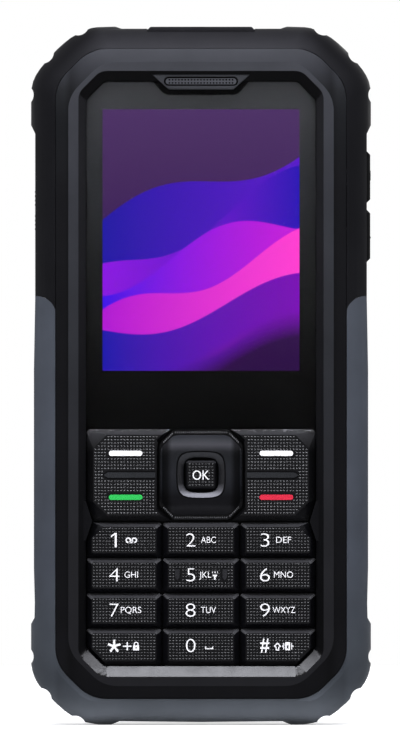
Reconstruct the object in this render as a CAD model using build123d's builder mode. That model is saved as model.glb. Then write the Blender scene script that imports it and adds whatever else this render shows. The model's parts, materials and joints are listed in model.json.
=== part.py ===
from build123d import *
import os

# Rugged feature phone that stands upright on its two lower corner feet.
# The display faces -Y, +X is to the viewer's right and +Z is up.
# The origin is the middle of the bounding box's base. Lengths are in millimetres.
# A depth is measured from the front of the lip towards the back.

# Overall size
height = 130.0
half_width = 31.65
thickness = 15.6

# Walls of the bumpers outside the housing
bumper_side_wall = 4.61
bumper_top_wall = 4.27
bumper_bottom_wall = 4.94

# Clearances
overrun = 1.0
fit = 0.1
key_gap = 0.16
running_fit = 0.05
edge_break = 0.3

# Steps of the front inwards from the housing's edge, at the sides and at both ends
outer_slope_side, outer_slope_end = 2.41, 2.42
lip_side, lip_end = 1.84, 1.7
inner_slope_side, inner_slope_end = 1.38, 1.94
housing_corner, housing_round = 6.5, 7.5
lip_corner, lip_round = 6.4, 6.5
inner_slope_corner, inner_slope_round = 4.1, 3.0
opening_corner, opening_round = 3.5, 1.4

# Rings of the front face, from the housing's edge inwards to the opening of the lens and the keys
housing_half = half_width - bumper_side_wall
housing_top = height - bumper_top_wall
housing_bottom = bumper_bottom_wall
lip_outer_half = housing_half - outer_slope_side
lip_outer_top = housing_top - outer_slope_end
lip_outer_bottom = housing_bottom + outer_slope_end
lip_inner_half = lip_outer_half - lip_side
lip_inner_top = lip_outer_top - lip_end
lip_inner_bottom = lip_outer_bottom + lip_end
opening_half = lip_inner_half - inner_slope_side
opening_top = lip_inner_top - inner_slope_end
opening_bottom = lip_inner_bottom + inner_slope_end

# Depths of the front
bumper_front = 1.5
outer_slope_depth = 1.6
lens_front = 1.3
lens_thickness = 1.0
deck_thickness = 1.0
housing_split = 7.0
deck_front = lens_front + lens_thickness
deck_back = deck_front + deck_thickness

# Inner space
cavity_side_step = 0.39
cavity_top_step = 3.53
cavity_bottom_step = 3.6
cavity_half = opening_half + cavity_side_step
cavity_top = opening_top + cavity_top_step
cavity_bottom = opening_bottom - cavity_bottom_step
cavity_corner = 6.0
cavity_round = 2.0


def facing(depth):
    """Plane parallel to the display, this far behind the front of the lip."""
    return Plane(origin=(0, depth - thickness / 2, 0), x_dir=(1, 0, 0), z_dir=(0, -1, 0))


def octagon(half, low, high, corner, rounding, upper_extra=0):
    """Symmetric outline with cut and rounded corners; the upper cuts can be larger."""
    inner, upper = half - corner, corner + upper_extra
    points = [(half, low + corner), (half, high - upper), (half - upper, high), (upper - half, high)]
    points += [(-half, high - upper), (-half, low + corner), (-inner, low), (inner, low)]
    with BuildSketch() as outline:
        with BuildLine():
            FilletPolyline(*points, radius=rounding, close=True)
        make_face()
    return outline.sketch


def polygon(points):
    """Outline with straight sides."""
    with BuildSketch() as outline:
        with BuildLine():
            Polyline(*points, close=True)
        make_face()
    return outline.sketch


def rectangle(low, high, rounding=0):
    """Upright outline from one corner to the opposite one."""
    width, depth = high[0] - low[0], high[1] - low[1]
    with BuildSketch() as outline:
        with Locations(((low[0] + high[0]) / 2, (low[1] + high[1]) / 2)):
            if rounding:
                RectangleRounded(width, depth, rounding)
            else:
                Rectangle(width, depth)
    return outline.sketch


def disc(centre, radius):
    """Round outline."""
    with BuildSketch() as outline:
        with Locations(centre):
            Circle(radius)
    return outline.sketch


def prism(outline, front, back, mode=Mode.ADD):
    """Straight solid between two depths."""
    with BuildSketch(facing(back)) as base:
        add(outline)
    extrude(base.sketch, amount=back - front, mode=mode)


def frustum(front_outline, front, back_outline, back, mode=Mode.ADD):
    """Sloping solid between an outline at one depth and another behind it."""
    with BuildSketch(facing(front)) as near:
        add(front_outline)
    with BuildSketch(facing(back)) as far:
        add(back_outline)
    loft(sections=[near.sketch, far.sketch], ruled=True, mode=mode)


def finish(name, label):
    """Name a finished piece and write it."""
    name.part.label = label
    export_step(name.part, f"parts/{label}.step")


os.makedirs("parts", exist_ok=True)

# Outlines of the front and of the inner space
opening_outline = octagon(opening_half, opening_bottom, opening_top, opening_corner, opening_round)
lip_inner_outline = octagon(
    lip_inner_half, lip_inner_bottom, lip_inner_top, inner_slope_corner, inner_slope_round
)
lip_outer_outline = octagon(lip_outer_half, lip_outer_bottom, lip_outer_top, lip_corner, lip_round)
housing_outline = octagon(housing_half, housing_bottom, housing_top, housing_corner, housing_round)
cavity_outline = octagon(cavity_half, cavity_bottom, cavity_top, cavity_corner, cavity_round)

# Columns and rows of the digit keys
column_edge = 7.22
row_heights = [6.58, 6.57, 6.55, 6.97]
row_edges = [opening_bottom + sum(row_heights[row:]) for row in range(5)]
key_names = [["1", "2", "3"], ["4", "5", "6"], ["7", "8", "9"], ["star", "0", "hash"]]
key_top = 0.9
key_skirt = 2.1
key_back = 2.9
key_slope_side = 0.98
key_slope_top = 0.77
key_slope_bottom = 0.82
key_corner = 0.35
corner_key_top_cut = 2.2
bulge_reach = 1.2
bulge_rise = 0.28
bulge_upper_reach = 3.85
bulge_lower_reach = 3.65
bulge_front = 0.9
bulge_tip = row_edges[0] + bulge_rise
bulge_high = bulge_tip + bulge_upper_reach
bulge_low = bulge_tip - bulge_lower_reach
function_gap = 0.33
function_height = 17.1
function_bottom = row_edges[0] + function_gap
keypad_top = function_bottom + function_height

# Display
panel_side_margin = 1.91
panel_low_margin = 5.9
panel_high_margin = 3.67
panel_half = opening_half - panel_side_margin
panel_bottom = keypad_top + panel_low_margin
panel_top = opening_top - panel_high_margin
panel_gap = 0.1
panel_back = 4.3
window_clearance = 0.2
frame_wall = 0.65
frame_front = 3.5
frame_back = 4.8
frame_plate = 0.4

# Earpiece
earpiece_rise = 1.27
earpiece_drop = 1.47
earpiece_top = opening_top + earpiece_rise
earpiece_bottom = opening_top - earpiece_drop
earpiece_half_top = 9.1
earpiece_half_bottom = 5.99
earpiece_front = 0.45
notch_margin = 0.85
grille_half = 6.78
grille_height = 1.55
grille_centre = opening_top
grille_front = 0.65
grille_thickness = 0.6
grille_hole = 0.17
grille_pitch = 0.587
grille_columns = 21
receiver_half = 6.4
receiver_drop = 2.37
receiver_rise = 2.63
receiver_bottom = grille_centre - receiver_drop
receiver_top = grille_centre + receiver_rise
receiver_front = 3.4
receiver_back = 5.4
sound_slot_half = 5.0
sound_slot_height = 1.0

# Battery cover's outline
cover_side_rim = 1.64
cover_low_rim = 3.86
cover_drop = 40.13
cover_half = housing_half - cover_side_rim
cover_bottom = housing_bottom + cover_low_rim
cover_top = housing_top - cover_drop
cover_corner = 5.5
cover_round = 3.0
cover_thickness = 1.6
cover_seat = thickness - cover_thickness

# Housing screws
screw_inset = 3.24
screw_rise = 21.2
screw_drop = 7.6
screw_top_inset = 4.24
screw_top_drop = 7.13
screw_sink = 1.4
screw_side = housing_half - screw_inset
screw_low = cover_bottom + screw_rise
screw_high = cover_top - screw_drop
screw_top_side = housing_half - screw_top_inset
screw_top = housing_top - screw_top_drop
screw_radius = 0.9
screw_head = 1.4
screw_head_front = cover_seat - screw_sink
screw_head_thickness = 0.9
screw_tip = 5.2
screw_slot = 0.4
screw_places = [
    (side * x, z)
    for side in (-1, 1)
    for x, z in ((screw_side, screw_low), (screw_side, screw_high), (screw_top_side, screw_top))
]


def earpiece_outline(margin):
    """Trapezoid of the earpiece, grown by a margin."""
    low, high = earpiece_bottom - margin, earpiece_top + margin
    return polygon(
        [
            (earpiece_half_top + margin, high),
            (-earpiece_half_top - margin, high),
            (-earpiece_half_bottom - margin, low),
            (earpiece_half_bottom + margin, low),
        ]
    )


def bulge_outline(side):
    """Pointed bulge of the opening's wall beside the top row of keys."""
    sunk = side * (opening_half + overrun)
    wall = side * opening_half
    tip = side * (opening_half - bulge_reach)
    points = [(sunk, bulge_low), (wall, bulge_low), (tip, bulge_tip), (wall, bulge_high), (sunk, bulge_high)]
    return polygon(points)


# Front housing
with BuildPart() as front_housing:
    prism(housing_outline, outer_slope_depth, housing_split)
    frustum(lip_outer_outline, 0, housing_outline, outer_slope_depth)
    frustum(lip_inner_outline, 0, opening_outline, lens_front, mode=Mode.SUBTRACT)
    prism(opening_outline, lens_front, deck_front, mode=Mode.SUBTRACT)
    prism(cavity_outline, deck_back, housing_split, mode=Mode.SUBTRACT)
    with BuildSketch(facing(deck_back + overrun)) as key_window:
        add(opening_outline)
        add(
            rectangle((-half_width, keypad_top), (half_width, height)),
            mode=Mode.SUBTRACT,
        )
    extrude(key_window.sketch, amount=deck_thickness + 2 * overrun, mode=Mode.SUBTRACT)
    window_half = panel_half + window_clearance
    prism(
        rectangle(
            (-window_half, panel_bottom - window_clearance), (window_half, panel_top + window_clearance)
        ),
        deck_front - overrun,
        deck_back + overrun,
        mode=Mode.SUBTRACT,
    )
    for side in (-1, 1):
        prism(bulge_outline(side), bulge_front, deck_back)
    prism(earpiece_outline(fit), -overrun, deck_front, mode=Mode.SUBTRACT)
    prism(
        rectangle(
            (-sound_slot_half, grille_centre - sound_slot_height / 2),
            (sound_slot_half, grille_centre + sound_slot_height / 2),
        ),
        deck_front - overrun,
        deck_back + overrun,
        mode=Mode.SUBTRACT,
    )
    for place in screw_places:
        prism(
            disc(place, screw_radius + running_fit),
            screw_tip - fit,
            housing_split + overrun,
            mode=Mode.SUBTRACT,
        )
finish(front_housing, "front_housing")

# Display lens, with a notch under the earpiece
with BuildPart() as display_lens:
    with BuildSketch(facing(lens_front + lens_thickness)) as lens_face:
        add(
            octagon(
                opening_half - fit,
                opening_bottom,
                opening_top - fit,
                opening_corner,
                opening_round,
            )
        )
        add(rectangle((-half_width, 0), (half_width, keypad_top + fit)), mode=Mode.SUBTRACT)
        add(earpiece_outline(notch_margin), mode=Mode.SUBTRACT)
    extrude(lens_face.sketch, amount=lens_thickness)
finish(display_lens, "display_lens")

# Display panel and its metal frame
with BuildPart() as lcd_panel:
    prism(
        rectangle((-panel_half, panel_bottom), (panel_half, panel_top)), deck_front + panel_gap, panel_back
    )
finish(lcd_panel, "lcd_panel")

frame_inner_half = panel_half + fit
frame_outer_half = frame_inner_half + frame_wall
with BuildPart() as lcd_frame:
    prism(
        rectangle(
            (-frame_outer_half, panel_bottom - fit - frame_wall),
            (frame_outer_half, panel_top + fit + frame_wall),
        ),
        frame_front,
        frame_back,
    )
    prism(
        rectangle((-frame_inner_half, panel_bottom - fit), (frame_inner_half, panel_top + fit)),
        frame_front - overrun,
        frame_back - frame_plate,
        mode=Mode.SUBTRACT,
    )
finish(lcd_frame, "lcd_frame")

# Earpiece bezel, perforated grille and receiver
with BuildPart() as earpiece_bezel:
    prism(earpiece_outline(0), earpiece_front, deck_front)
    with BuildSketch(facing(deck_front + overrun)) as grille_hole_face:
        with Locations((0, grille_centre)):
            SlotOverall(2 * (grille_half + fit), grille_height + 2 * fit)
    extrude(
        grille_hole_face.sketch, amount=deck_front + 2 * overrun, mode=Mode.SUBTRACT
    )
finish(earpiece_bezel, "earpiece_bezel")

with BuildPart() as earpiece_grille:
    with BuildSketch(facing(grille_front + grille_thickness)) as grille_face:
        with Locations((0, grille_centre)):
            SlotOverall(2 * grille_half, grille_height)
            with GridLocations(grille_pitch, grille_pitch, grille_columns, 2):
                Circle(grille_hole, mode=Mode.SUBTRACT)
    extrude(grille_face.sketch, amount=grille_thickness)
finish(earpiece_grille, "earpiece_grille")

with BuildPart() as earpiece_receiver:
    prism(
        rectangle((-receiver_half, receiver_bottom), (receiver_half, receiver_top), edge_break),
        receiver_front,
        receiver_back,
    )
finish(earpiece_receiver, "earpiece_receiver")


def key_outline(x_low, x_high, z_low, z_high, cuts):
    """Upright outline with a cut (width, height) at each corner, from the lower left round to the left."""
    (a_x, a_z), (b_x, b_z), (c_x, c_z), (d_x, d_z) = cuts
    return polygon(
        [
            (x_low + a_x, z_low),
            (x_high - b_x, z_low),
            (x_high, z_low + b_z),
            (x_high, z_high - c_z),
            (x_high - c_x, z_high),
            (x_low + d_x, z_high),
            (x_low, z_high - d_z),
            (x_low, z_low + a_z),
        ]
    )


# Digit keys, each a truncated pyramid on a straight skirt
column_edges = [-opening_half, -column_edge, column_edge, opening_half]
for row, names in enumerate(key_names):
    for column, key_name in enumerate(names):
        x_low = column_edges[column] + (fit if column == 0 else key_gap / 2)
        x_high = column_edges[column + 1] - (fit if column == 2 else key_gap / 2)
        z_high = row_edges[row] - key_gap / 2
        z_low = row_edges[row + 1] + (fit if row == 3 else key_gap / 2)
        base_cuts = [(key_corner, key_corner)] * 4
        top_cuts = [(key_corner, key_corner)] * 4
        if row == 3 and column != 1:
            corner = 0 if column == 0 else 1
            base_cuts[corner] = (opening_corner + fit, opening_corner + fit)
            top_cuts[corner] = (corner_key_top_cut, corner_key_top_cut)
        if row == 0 and column != 1:
            corner = 3 if column == 0 else 2
            base_cuts[corner] = (bulge_reach + fit, z_high - bulge_low + fit)
            top_cuts[corner] = (corner_key_top_cut, corner_key_top_cut)
        base = key_outline(x_low, x_high, z_low, z_high, base_cuts)
        top = key_outline(
            x_low + key_slope_side,
            x_high - key_slope_side,
            z_low + key_slope_bottom,
            z_high - key_slope_top,
            top_cuts,
        )
        with BuildPart() as digit_key:
            prism(base, key_skirt, key_back)
            frustum(top, key_top, base, key_skirt)
        finish(digit_key, f"key_{key_name}")

# Function rockers beside the navigation ring
function_half = opening_half - fit
function_top = keypad_top - fit
function_inner = 8.0
function_inner_corner = 2.4
function_foot_cut, function_foot_rise = 1.2, 3.8
function_edge_cut = 0.6
function_slope_side = 1.3
function_slope_end = 1.0
function_face_cut = 2.5
function_face_inner = 0.25
for side, label in ((-1, "left_function_key"), (1, "right_function_key")):
    base_points = [
        (function_half - function_foot_cut - fit, function_bottom),
        (function_half, function_bottom + function_foot_rise + fit),
        (function_half, function_top - function_edge_cut),
        (function_half - function_edge_cut, function_top),
        (function_inner - function_inner_corner, function_top),
        (function_inner, function_top - function_inner_corner),
        (function_inner, function_bottom + function_inner_corner),
        (function_inner - function_inner_corner, function_bottom),
    ]
    face_outer = function_half - function_slope_side
    face_inner = function_inner + function_face_inner
    face_low = function_bottom + function_slope_end
    face_high = function_top - function_slope_end
    face_corner = face_inner - function_slope_end
    face_points = [
        (face_outer - function_face_cut, face_low),
        (face_outer, face_low + function_face_cut),
        (face_outer, face_high - function_face_cut),
        (face_outer - function_face_cut, face_high),
        (face_corner, face_high),
        (face_inner, face_high - function_slope_end),
        (face_inner, face_low + function_slope_end),
        (face_corner, face_low),
    ]
    with BuildPart() as function_key:
        base = polygon([(side * x, z) for x, z in base_points])
        face = polygon([(side * x, z) for x, z in face_points])
        prism(base, key_skirt, key_back)
        frustum(face, key_top, base, key_skirt)
    finish(function_key, label)

# Navigation ring, its carrier and the OK key
nav_centre = (function_bottom + keypad_top) / 2
carrier_end_gap = 0.15
carrier_strip = 0.99
carrier_side_strip = 0.21
nav_side_extra = 0.18
carrier_half_height = function_height / 2 - carrier_end_gap
nav_half_height = carrier_half_height - carrier_strip
nav_half_width = nav_half_height + nav_side_extra
carrier_half_width = nav_half_width + carrier_side_strip
nav_corner = 2.1
nav_round = 1.2
nav_front = 0.5
nav_shoulder = 1.1
nav_back = 1.6
nav_slope = 1.1
nav_face_round = 0.5
well_half = 4.3
well_round = 1.9
well_depth = 0.6
well_hole_half = 3.24
well_hole_round = 1.2
carrier_front = 1.9
carrier_back = 2.9
carrier_corner = 2.7
ok_half_width = 2.85
ok_half_height = 2.66
ok_round = 0.63
ok_front = 0.6


def nav_octagon(width_half, height_half, corner, rounding):
    """Cut-cornered outline round the middle of the navigation keys."""
    centre_outline = octagon(width_half, -height_half, height_half, corner, rounding)
    with BuildSketch() as placed:
        with Locations((0, nav_centre)):
            add(centre_outline)
    return placed.sketch


def well_outline(half, rounding):
    """Rounded square round the middle of the navigation keys."""
    return rectangle((-half, nav_centre - half), (half, nav_centre + half), rounding)


with BuildPart() as nav_ring:
    nav_base = nav_octagon(nav_half_width, nav_half_height, nav_corner, nav_round)
    nav_face = nav_octagon(
        nav_half_width - nav_slope, nav_half_height - nav_slope, nav_corner, nav_face_round
    )
    prism(nav_base, nav_shoulder, nav_back)
    frustum(nav_face, nav_front, nav_base, nav_shoulder)
    frustum(
        well_outline(well_half, well_round),
        nav_front,
        well_outline(well_hole_half, well_hole_round),
        nav_front + well_depth,
        mode=Mode.SUBTRACT,
    )
    prism(
        well_outline(well_hole_half, well_hole_round),
        nav_front,
        nav_back + overrun,
        mode=Mode.SUBTRACT,
    )
finish(nav_ring, "nav_ring")

with BuildPart() as nav_carrier:
    prism(
        nav_octagon(carrier_half_width, carrier_half_height, carrier_corner, nav_round),
        carrier_front,
        carrier_back,
    )
    prism(
        well_outline(well_hole_half, well_hole_round),
        carrier_front - overrun,
        carrier_back + overrun,
        mode=Mode.SUBTRACT,
    )
finish(nav_carrier, "nav_carrier")

with BuildPart() as ok_key:
    prism(
        rectangle(
            (-ok_half_width, nav_centre - ok_half_height),
            (ok_half_width, nav_centre + ok_half_height),
            ok_round,
        ),
        ok_front,
        key_back,
    )
    chamfer(ok_key.faces().sort_by(Axis.Y)[0].edges(), edge_break)
finish(ok_key, "ok_key")

# Key membrane with a plunger under each press point, dome sheet and board
membrane_front = 3.5
membrane_back = 4.3
membrane_rise = 1.1
membrane_top = keypad_top + membrane_rise
plunger_radius = 1.1
plunger_back = 4.95
dome_sheet_front = 5.35
dome_height = 0.3
dome_radius = 2.2
sheet_rise = 0.4
sheet_top = keypad_top + sheet_rise
sheet_edge = 0.8
board_front = 5.6
board_back = 6.6
board_edge = 0.5
function_press_x = 14.0
function_press_share = 0.24
function_press_rise = function_press_share * function_height
nav_press_inset = 1.41
nav_press_reach = nav_half_height - nav_press_inset
press_places = [
    ((column_edges[column] + column_edges[column + 1]) / 2, (row_edges[row] + row_edges[row + 1]) / 2)
    for row in range(4)
    for column in range(3)
]
press_places += [
    (x, nav_centre + z)
    for x in (-function_press_x, function_press_x)
    for z in (-function_press_rise, function_press_rise)
]
press_places += [(0, nav_centre), (0, nav_centre + nav_press_reach), (0, nav_centre - nav_press_reach)]
press_places += [(-nav_press_reach, nav_centre), (nav_press_reach, nav_centre)]


def cavity_sheet(margin, top):
    """Outline of the cavity below a height, drawn in by a margin."""
    with BuildSketch() as sheet:
        add(octagon(cavity_half - margin, cavity_bottom + margin, cavity_top, cavity_corner, cavity_round))
        add(rectangle((-half_width, top), (half_width, height)), mode=Mode.SUBTRACT)
    return sheet.sketch


with BuildPart() as key_membrane:
    prism(cavity_sheet(fit, membrane_top), membrane_front, membrane_back)
    with BuildSketch(facing(plunger_back)) as plungers:
        with Locations(*press_places):
            Circle(plunger_radius)
    extrude(plungers.sketch, amount=plunger_back - membrane_back)
finish(key_membrane, "key_membrane")

with BuildPart() as dome_sheet:
    prism(cavity_sheet(sheet_edge, sheet_top), dome_sheet_front, board_front)
    with BuildSketch(facing(dome_sheet_front)) as domes:
        with Locations(*press_places):
            Circle(dome_radius)
    extrude(domes.sketch, amount=dome_height, taper=45)
finish(dome_sheet, "dome_sheet")

with BuildPart() as main_board:
    prism(
        octagon(
            cavity_half - board_edge,
            cavity_bottom + board_edge,
            cavity_top - board_edge,
            cavity_corner,
            cavity_round,
        ),
        board_front,
        board_back,
    )
finish(main_board, "main_board")

# Battery bay and the parts around it
rear_floor_front = 8.6
bay_floor = 9.4
bay_side_wall = 6.24
bay_low_wall = 11.2
bay_high_wall = 3.6
back_wall = 1.4
cavity_gap = 1.4
upper_side_wall = 8.04
upper_step = 1.2
bay_half = housing_half - bay_side_wall
bay_bottom = cover_bottom + bay_low_wall
bay_top = cover_top - bay_high_wall
bay_height = bay_top - bay_bottom
cavity_back = thickness - back_wall
cavity_floor = cover_top + cavity_gap
upper_cavity_half = housing_half - upper_side_wall
upper_cavity_top = cavity_top - upper_step
battery_play = 0.4
battery_gap = 0.2
battery_back = cover_seat - battery_gap
battery_round = 1.0
gasket_inset = 0.4
gasket_width = 0.8
gasket_depth = 0.6
gasket_squeeze = 0.05
bay_round = 1.2

# Sockets in the left side
side_drop = 33.5
usb_rise = 5.0
jack_drop = 5.5
side_middle = height - side_drop
port_depth = 9.7
usb_centre = side_middle + usb_rise
usb_half_length = 4.6
usb_half_height = 1.6
usb_wall = 0.35
usb_length = 7.4
usb_hollow = 6.0
tongue_half_height = 0.35
tongue_half_length = 3.3
tongue_reach = 5.0
jack_centre = side_middle - jack_drop
jack_radius = 2.5
jack_bore_radius = 1.8
jack_length = 14.5
jack_bore_length = 13.5
socket_wall = 0.05

# Camera, torch, sound
camera_drop = 21.5
camera_centre = height - camera_drop
camera_bezel_radius = 5.4
camera_glass_radius = 3.5
seat_sink = 0.9
camera_seat = thickness - seat_sink
camera_barrel_radius = 3.1
flash_side = 10.0
flash_radius = 1.6
flash_sink = 1.1
flash_front = thickness - flash_sink
speaker_drop = 36.4
speaker_centre = height - speaker_drop
speaker_half_width = 7.5
speaker_half_height = 5.2
speaker_back = cavity_back - fit
speaker_thickness = 3.1
speaker_front = speaker_back - speaker_thickness
speaker_grille_half = 6.0
speaker_grille_height = 4.4
speaker_grille_front = thickness - seat_sink
speaker_slot_pitch = 1.0
speaker_slot = 0.5
speaker_slots = 4
speaker_slot_margin = 0.8

# Cover locks
lock_inset = 6.4
lock_rise = 5.6
lock_side = cover_half - lock_inset
lock_height = cover_bottom + lock_rise
lock_head_radius = 2.7
lock_head_sink = 0.65
lock_head_front = thickness - lock_head_sink
lock_head_back = thickness - fit
lock_shank_radius = 1.2
lock_reach = 3.6
lock_play = 0.4
lock_tip = cover_seat - lock_reach
lock_hole_end = lock_tip - lock_play
lock_slot = 0.7
lock_slot_depth = 0.3
cover_front = cover_seat + running_fit

# Holder and contacts behind the board
holder_shares = ((-0.82, 0.1), (-0.14, 0.34))
holder_low, holder_high = [(x * bay_half, bay_bottom + z * bay_height) for x, z in holder_shares]
holder_back = 9.0
contact_half = 5.8
contact_gap = 0.2
contact_length = 2.6
contact_sink = 1.8
contact_low = bay_top + contact_gap
contact_high = contact_low + contact_length
contact_back = cover_seat - contact_sink
contact_pin_radius = 0.5
contact_pin_reach = 0.5
contact_pin_pitch = 2.8
contact_pin_sink = 1.4
contact_pin_depth = contact_back - contact_pin_sink
side_reach = housing_half + overrun


def socket_plane(offset):
    """Plane across the left sockets, this far out from the middle, looked at from outside."""
    return Plane(origin=(-offset, port_depth - thickness / 2, 0), x_dir=(0, -1, 0), z_dir=(-1, 0, 0))


def bore_left(outer, inner, centre, radius, mode):
    """Round solid along X in the left side between two distances from the middle."""
    with BuildSketch(socket_plane(inner)) as ring:
        with Locations((0, centre)):
            Circle(radius)
    extrude(ring.sketch, amount=outer - inner, mode=mode)


def slot_left(outer, inner, half_length, half_height, mode):
    """Flat oval solid along X in the left side, for the charging socket."""
    with BuildSketch(socket_plane(inner)) as oval:
        with Locations((0, usb_centre)):
            SlotOverall(2 * half_length, 2 * half_height, rotation=90)
    extrude(oval.sketch, amount=outer - inner, mode=mode)


def cover_outline(margin):
    """Outline of the battery cover, grown by a margin."""
    return octagon(
        cover_half + margin, cover_bottom - margin, cover_top + margin, cover_corner, cover_round
    )


gasket_outer = (bay_half + gasket_inset + gasket_width, gasket_inset + gasket_width)
gasket_inner = (bay_half + gasket_inset, gasket_inset)


def gasket_outline(half, reach, margin):
    """Rounded ring edge round the battery bay."""
    return rectangle(
        (-half - margin, bay_bottom - reach - margin),
        (half + margin, bay_top + reach + margin),
        bay_round + reach,
    )


with BuildPart() as rear_housing:
    prism(housing_outline, housing_split, thickness)
    chamfer(rear_housing.faces().sort_by(Axis.Y)[-1].edges(), edge_break)
    prism(cavity_outline, housing_split - overrun, rear_floor_front, mode=Mode.SUBTRACT)
    prism(
        rectangle((-bay_half, bay_bottom), (bay_half, bay_top), bay_round),
        bay_floor,
        thickness + overrun,
        mode=Mode.SUBTRACT,
    )
    prism(cover_outline(fit), cover_seat, thickness + overrun, mode=Mode.SUBTRACT)
    prism(
        rectangle((-upper_cavity_half, cavity_floor), (upper_cavity_half, upper_cavity_top), cavity_round),
        housing_split - overrun,
        cavity_back,
        mode=Mode.SUBTRACT,
    )
    with BuildSketch(facing(cover_seat + overrun)) as gasket_groove:
        add(gasket_outline(*gasket_outer, fit))
        add(gasket_outline(*gasket_inner, -fit), mode=Mode.SUBTRACT)
    extrude(gasket_groove.sketch, amount=gasket_depth + overrun, mode=Mode.SUBTRACT)
    holder_hole = rectangle(
        (holder_low[0] - fit, holder_low[1] - fit), (holder_high[0] + fit, holder_high[1] + fit)
    )
    prism(holder_hole, housing_split, bay_floor + overrun, mode=Mode.SUBTRACT)
    prism(
        rectangle((-contact_half - fit, bay_top - overrun), (contact_half + fit, contact_high + fit)),
        housing_split - overrun,
        contact_back + fit,
        mode=Mode.SUBTRACT,
    )
    bore_left(side_reach, upper_cavity_half - overrun, jack_centre, jack_radius + fit, Mode.SUBTRACT)
    slot_left(
        side_reach,
        upper_cavity_half - overrun,
        usb_half_length + fit,
        usb_half_height + fit,
        Mode.SUBTRACT,
    )
    for place in screw_places:
        prism(disc(place, screw_radius + fit), housing_split - overrun, cover_seat, mode=Mode.SUBTRACT)
        prism(disc(place, screw_head + fit), screw_head_front, thickness + overrun, mode=Mode.SUBTRACT)
    for side in (-1, 1):
        prism(
            disc((side * lock_side, lock_height), lock_shank_radius + running_fit),
            lock_hole_end,
            cover_seat + overrun,
            mode=Mode.SUBTRACT,
        )
    for place, radius, front in (
        ((0, camera_centre), camera_bezel_radius, camera_seat),
        ((0, camera_centre), camera_barrel_radius, cavity_back - overrun),
        ((flash_side, camera_centre), flash_radius, cavity_back - overrun),
    ):
        prism(disc(place, radius + fit), front, thickness + overrun, mode=Mode.SUBTRACT)
    prism(
        rectangle(
            (-speaker_grille_half - fit, speaker_centre - speaker_grille_height / 2 - fit),
            (speaker_grille_half + fit, speaker_centre + speaker_grille_height / 2 + fit),
        ),
        speaker_grille_front,
        thickness + overrun,
        mode=Mode.SUBTRACT,
    )
    prism(
        rectangle(
            (-speaker_grille_half + speaker_slot_margin, speaker_centre - speaker_grille_height / 2 + fit),
            (speaker_grille_half - speaker_slot_margin, speaker_centre + speaker_grille_height / 2 - fit),
        ),
        cavity_back - overrun,
        thickness,
        mode=Mode.SUBTRACT,
    )
finish(rear_housing, "rear_housing")

# Battery and its gasket
with BuildPart() as battery:
    prism(
        rectangle(
            (-bay_half + battery_play, bay_bottom + battery_play),
            (bay_half - battery_play, bay_top - battery_play),
            battery_round,
        ),
        bay_floor,
        battery_back,
    )
finish(battery, "battery")

with BuildPart() as battery_cover_gasket:
    with BuildSketch(facing(cover_seat - gasket_squeeze)) as gasket_face:
        add(gasket_outline(*gasket_outer, 0))
        add(gasket_outline(*gasket_inner, 0), mode=Mode.SUBTRACT)
    extrude(gasket_face.sketch, amount=gasket_depth - gasket_squeeze)
finish(battery_cover_gasket, "battery_cover_gasket")

# Battery cover with shallow ribs, and its two captive locks
groove_width = 1.6
groove_depth = 0.35
groove_pitch = 6.4
groove_count = 8
groove_margin = 8.4
groove_drop = 1.0
groove_half = cover_half - groove_margin
groove_centre = (bay_bottom + bay_top) / 2 - groove_drop
cover_edge = 0.5
with BuildPart() as battery_cover:
    prism(cover_outline(0), cover_front, thickness)
    chamfer(battery_cover.faces().sort_by(Axis.Y)[-1].edges(), cover_edge)
    with BuildSketch(facing(thickness + overrun)) as grooves:
        with Locations((0, groove_centre)):
            with GridLocations(0, groove_pitch, 1, groove_count):
                SlotOverall(2 * groove_half, groove_width)
    extrude(grooves.sketch, amount=groove_depth + overrun, mode=Mode.SUBTRACT)
    for side in (-1, 1):
        place = (side * lock_side, lock_height)
        prism(disc(place, lock_head_radius + fit), lock_head_front, thickness + overrun, mode=Mode.SUBTRACT)
        prism(disc(place, lock_shank_radius + running_fit), 0, thickness, mode=Mode.SUBTRACT)
finish(battery_cover, "battery_cover")

for side, label in ((-1, "cover_lock_left"), (1, "cover_lock_right")):
    place = (side * lock_side, lock_height)
    with BuildPart() as cover_lock:
        prism(disc(place, lock_shank_radius), lock_tip, lock_head_front)
        prism(disc(place, lock_head_radius), lock_head_front, lock_head_back)
        with BuildSketch(facing(lock_head_back + overrun)) as lock_slot_face:
            with Locations(place):
                Rectangle(2 * (lock_head_radius + overrun), lock_slot)
        extrude(lock_slot_face.sketch, amount=lock_slot_depth + overrun, mode=Mode.SUBTRACT)
    finish(cover_lock, label)

with BuildPart() as housing_screws:
    for place in screw_places:
        prism(disc(place, screw_radius), screw_tip, screw_head_front)
        prism(disc(place, screw_head), screw_head_front, screw_head_front + screw_head_thickness)
        with BuildSketch(facing(screw_head_front + screw_head_thickness + overrun)) as cross:
            with Locations(place):
                Rectangle(2 * screw_radius, screw_slot)
                Rectangle(screw_slot, 2 * screw_radius)
        extrude(cross.sketch, amount=screw_slot + overrun, mode=Mode.SUBTRACT)
finish(housing_screws, "housing_screws")

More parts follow.
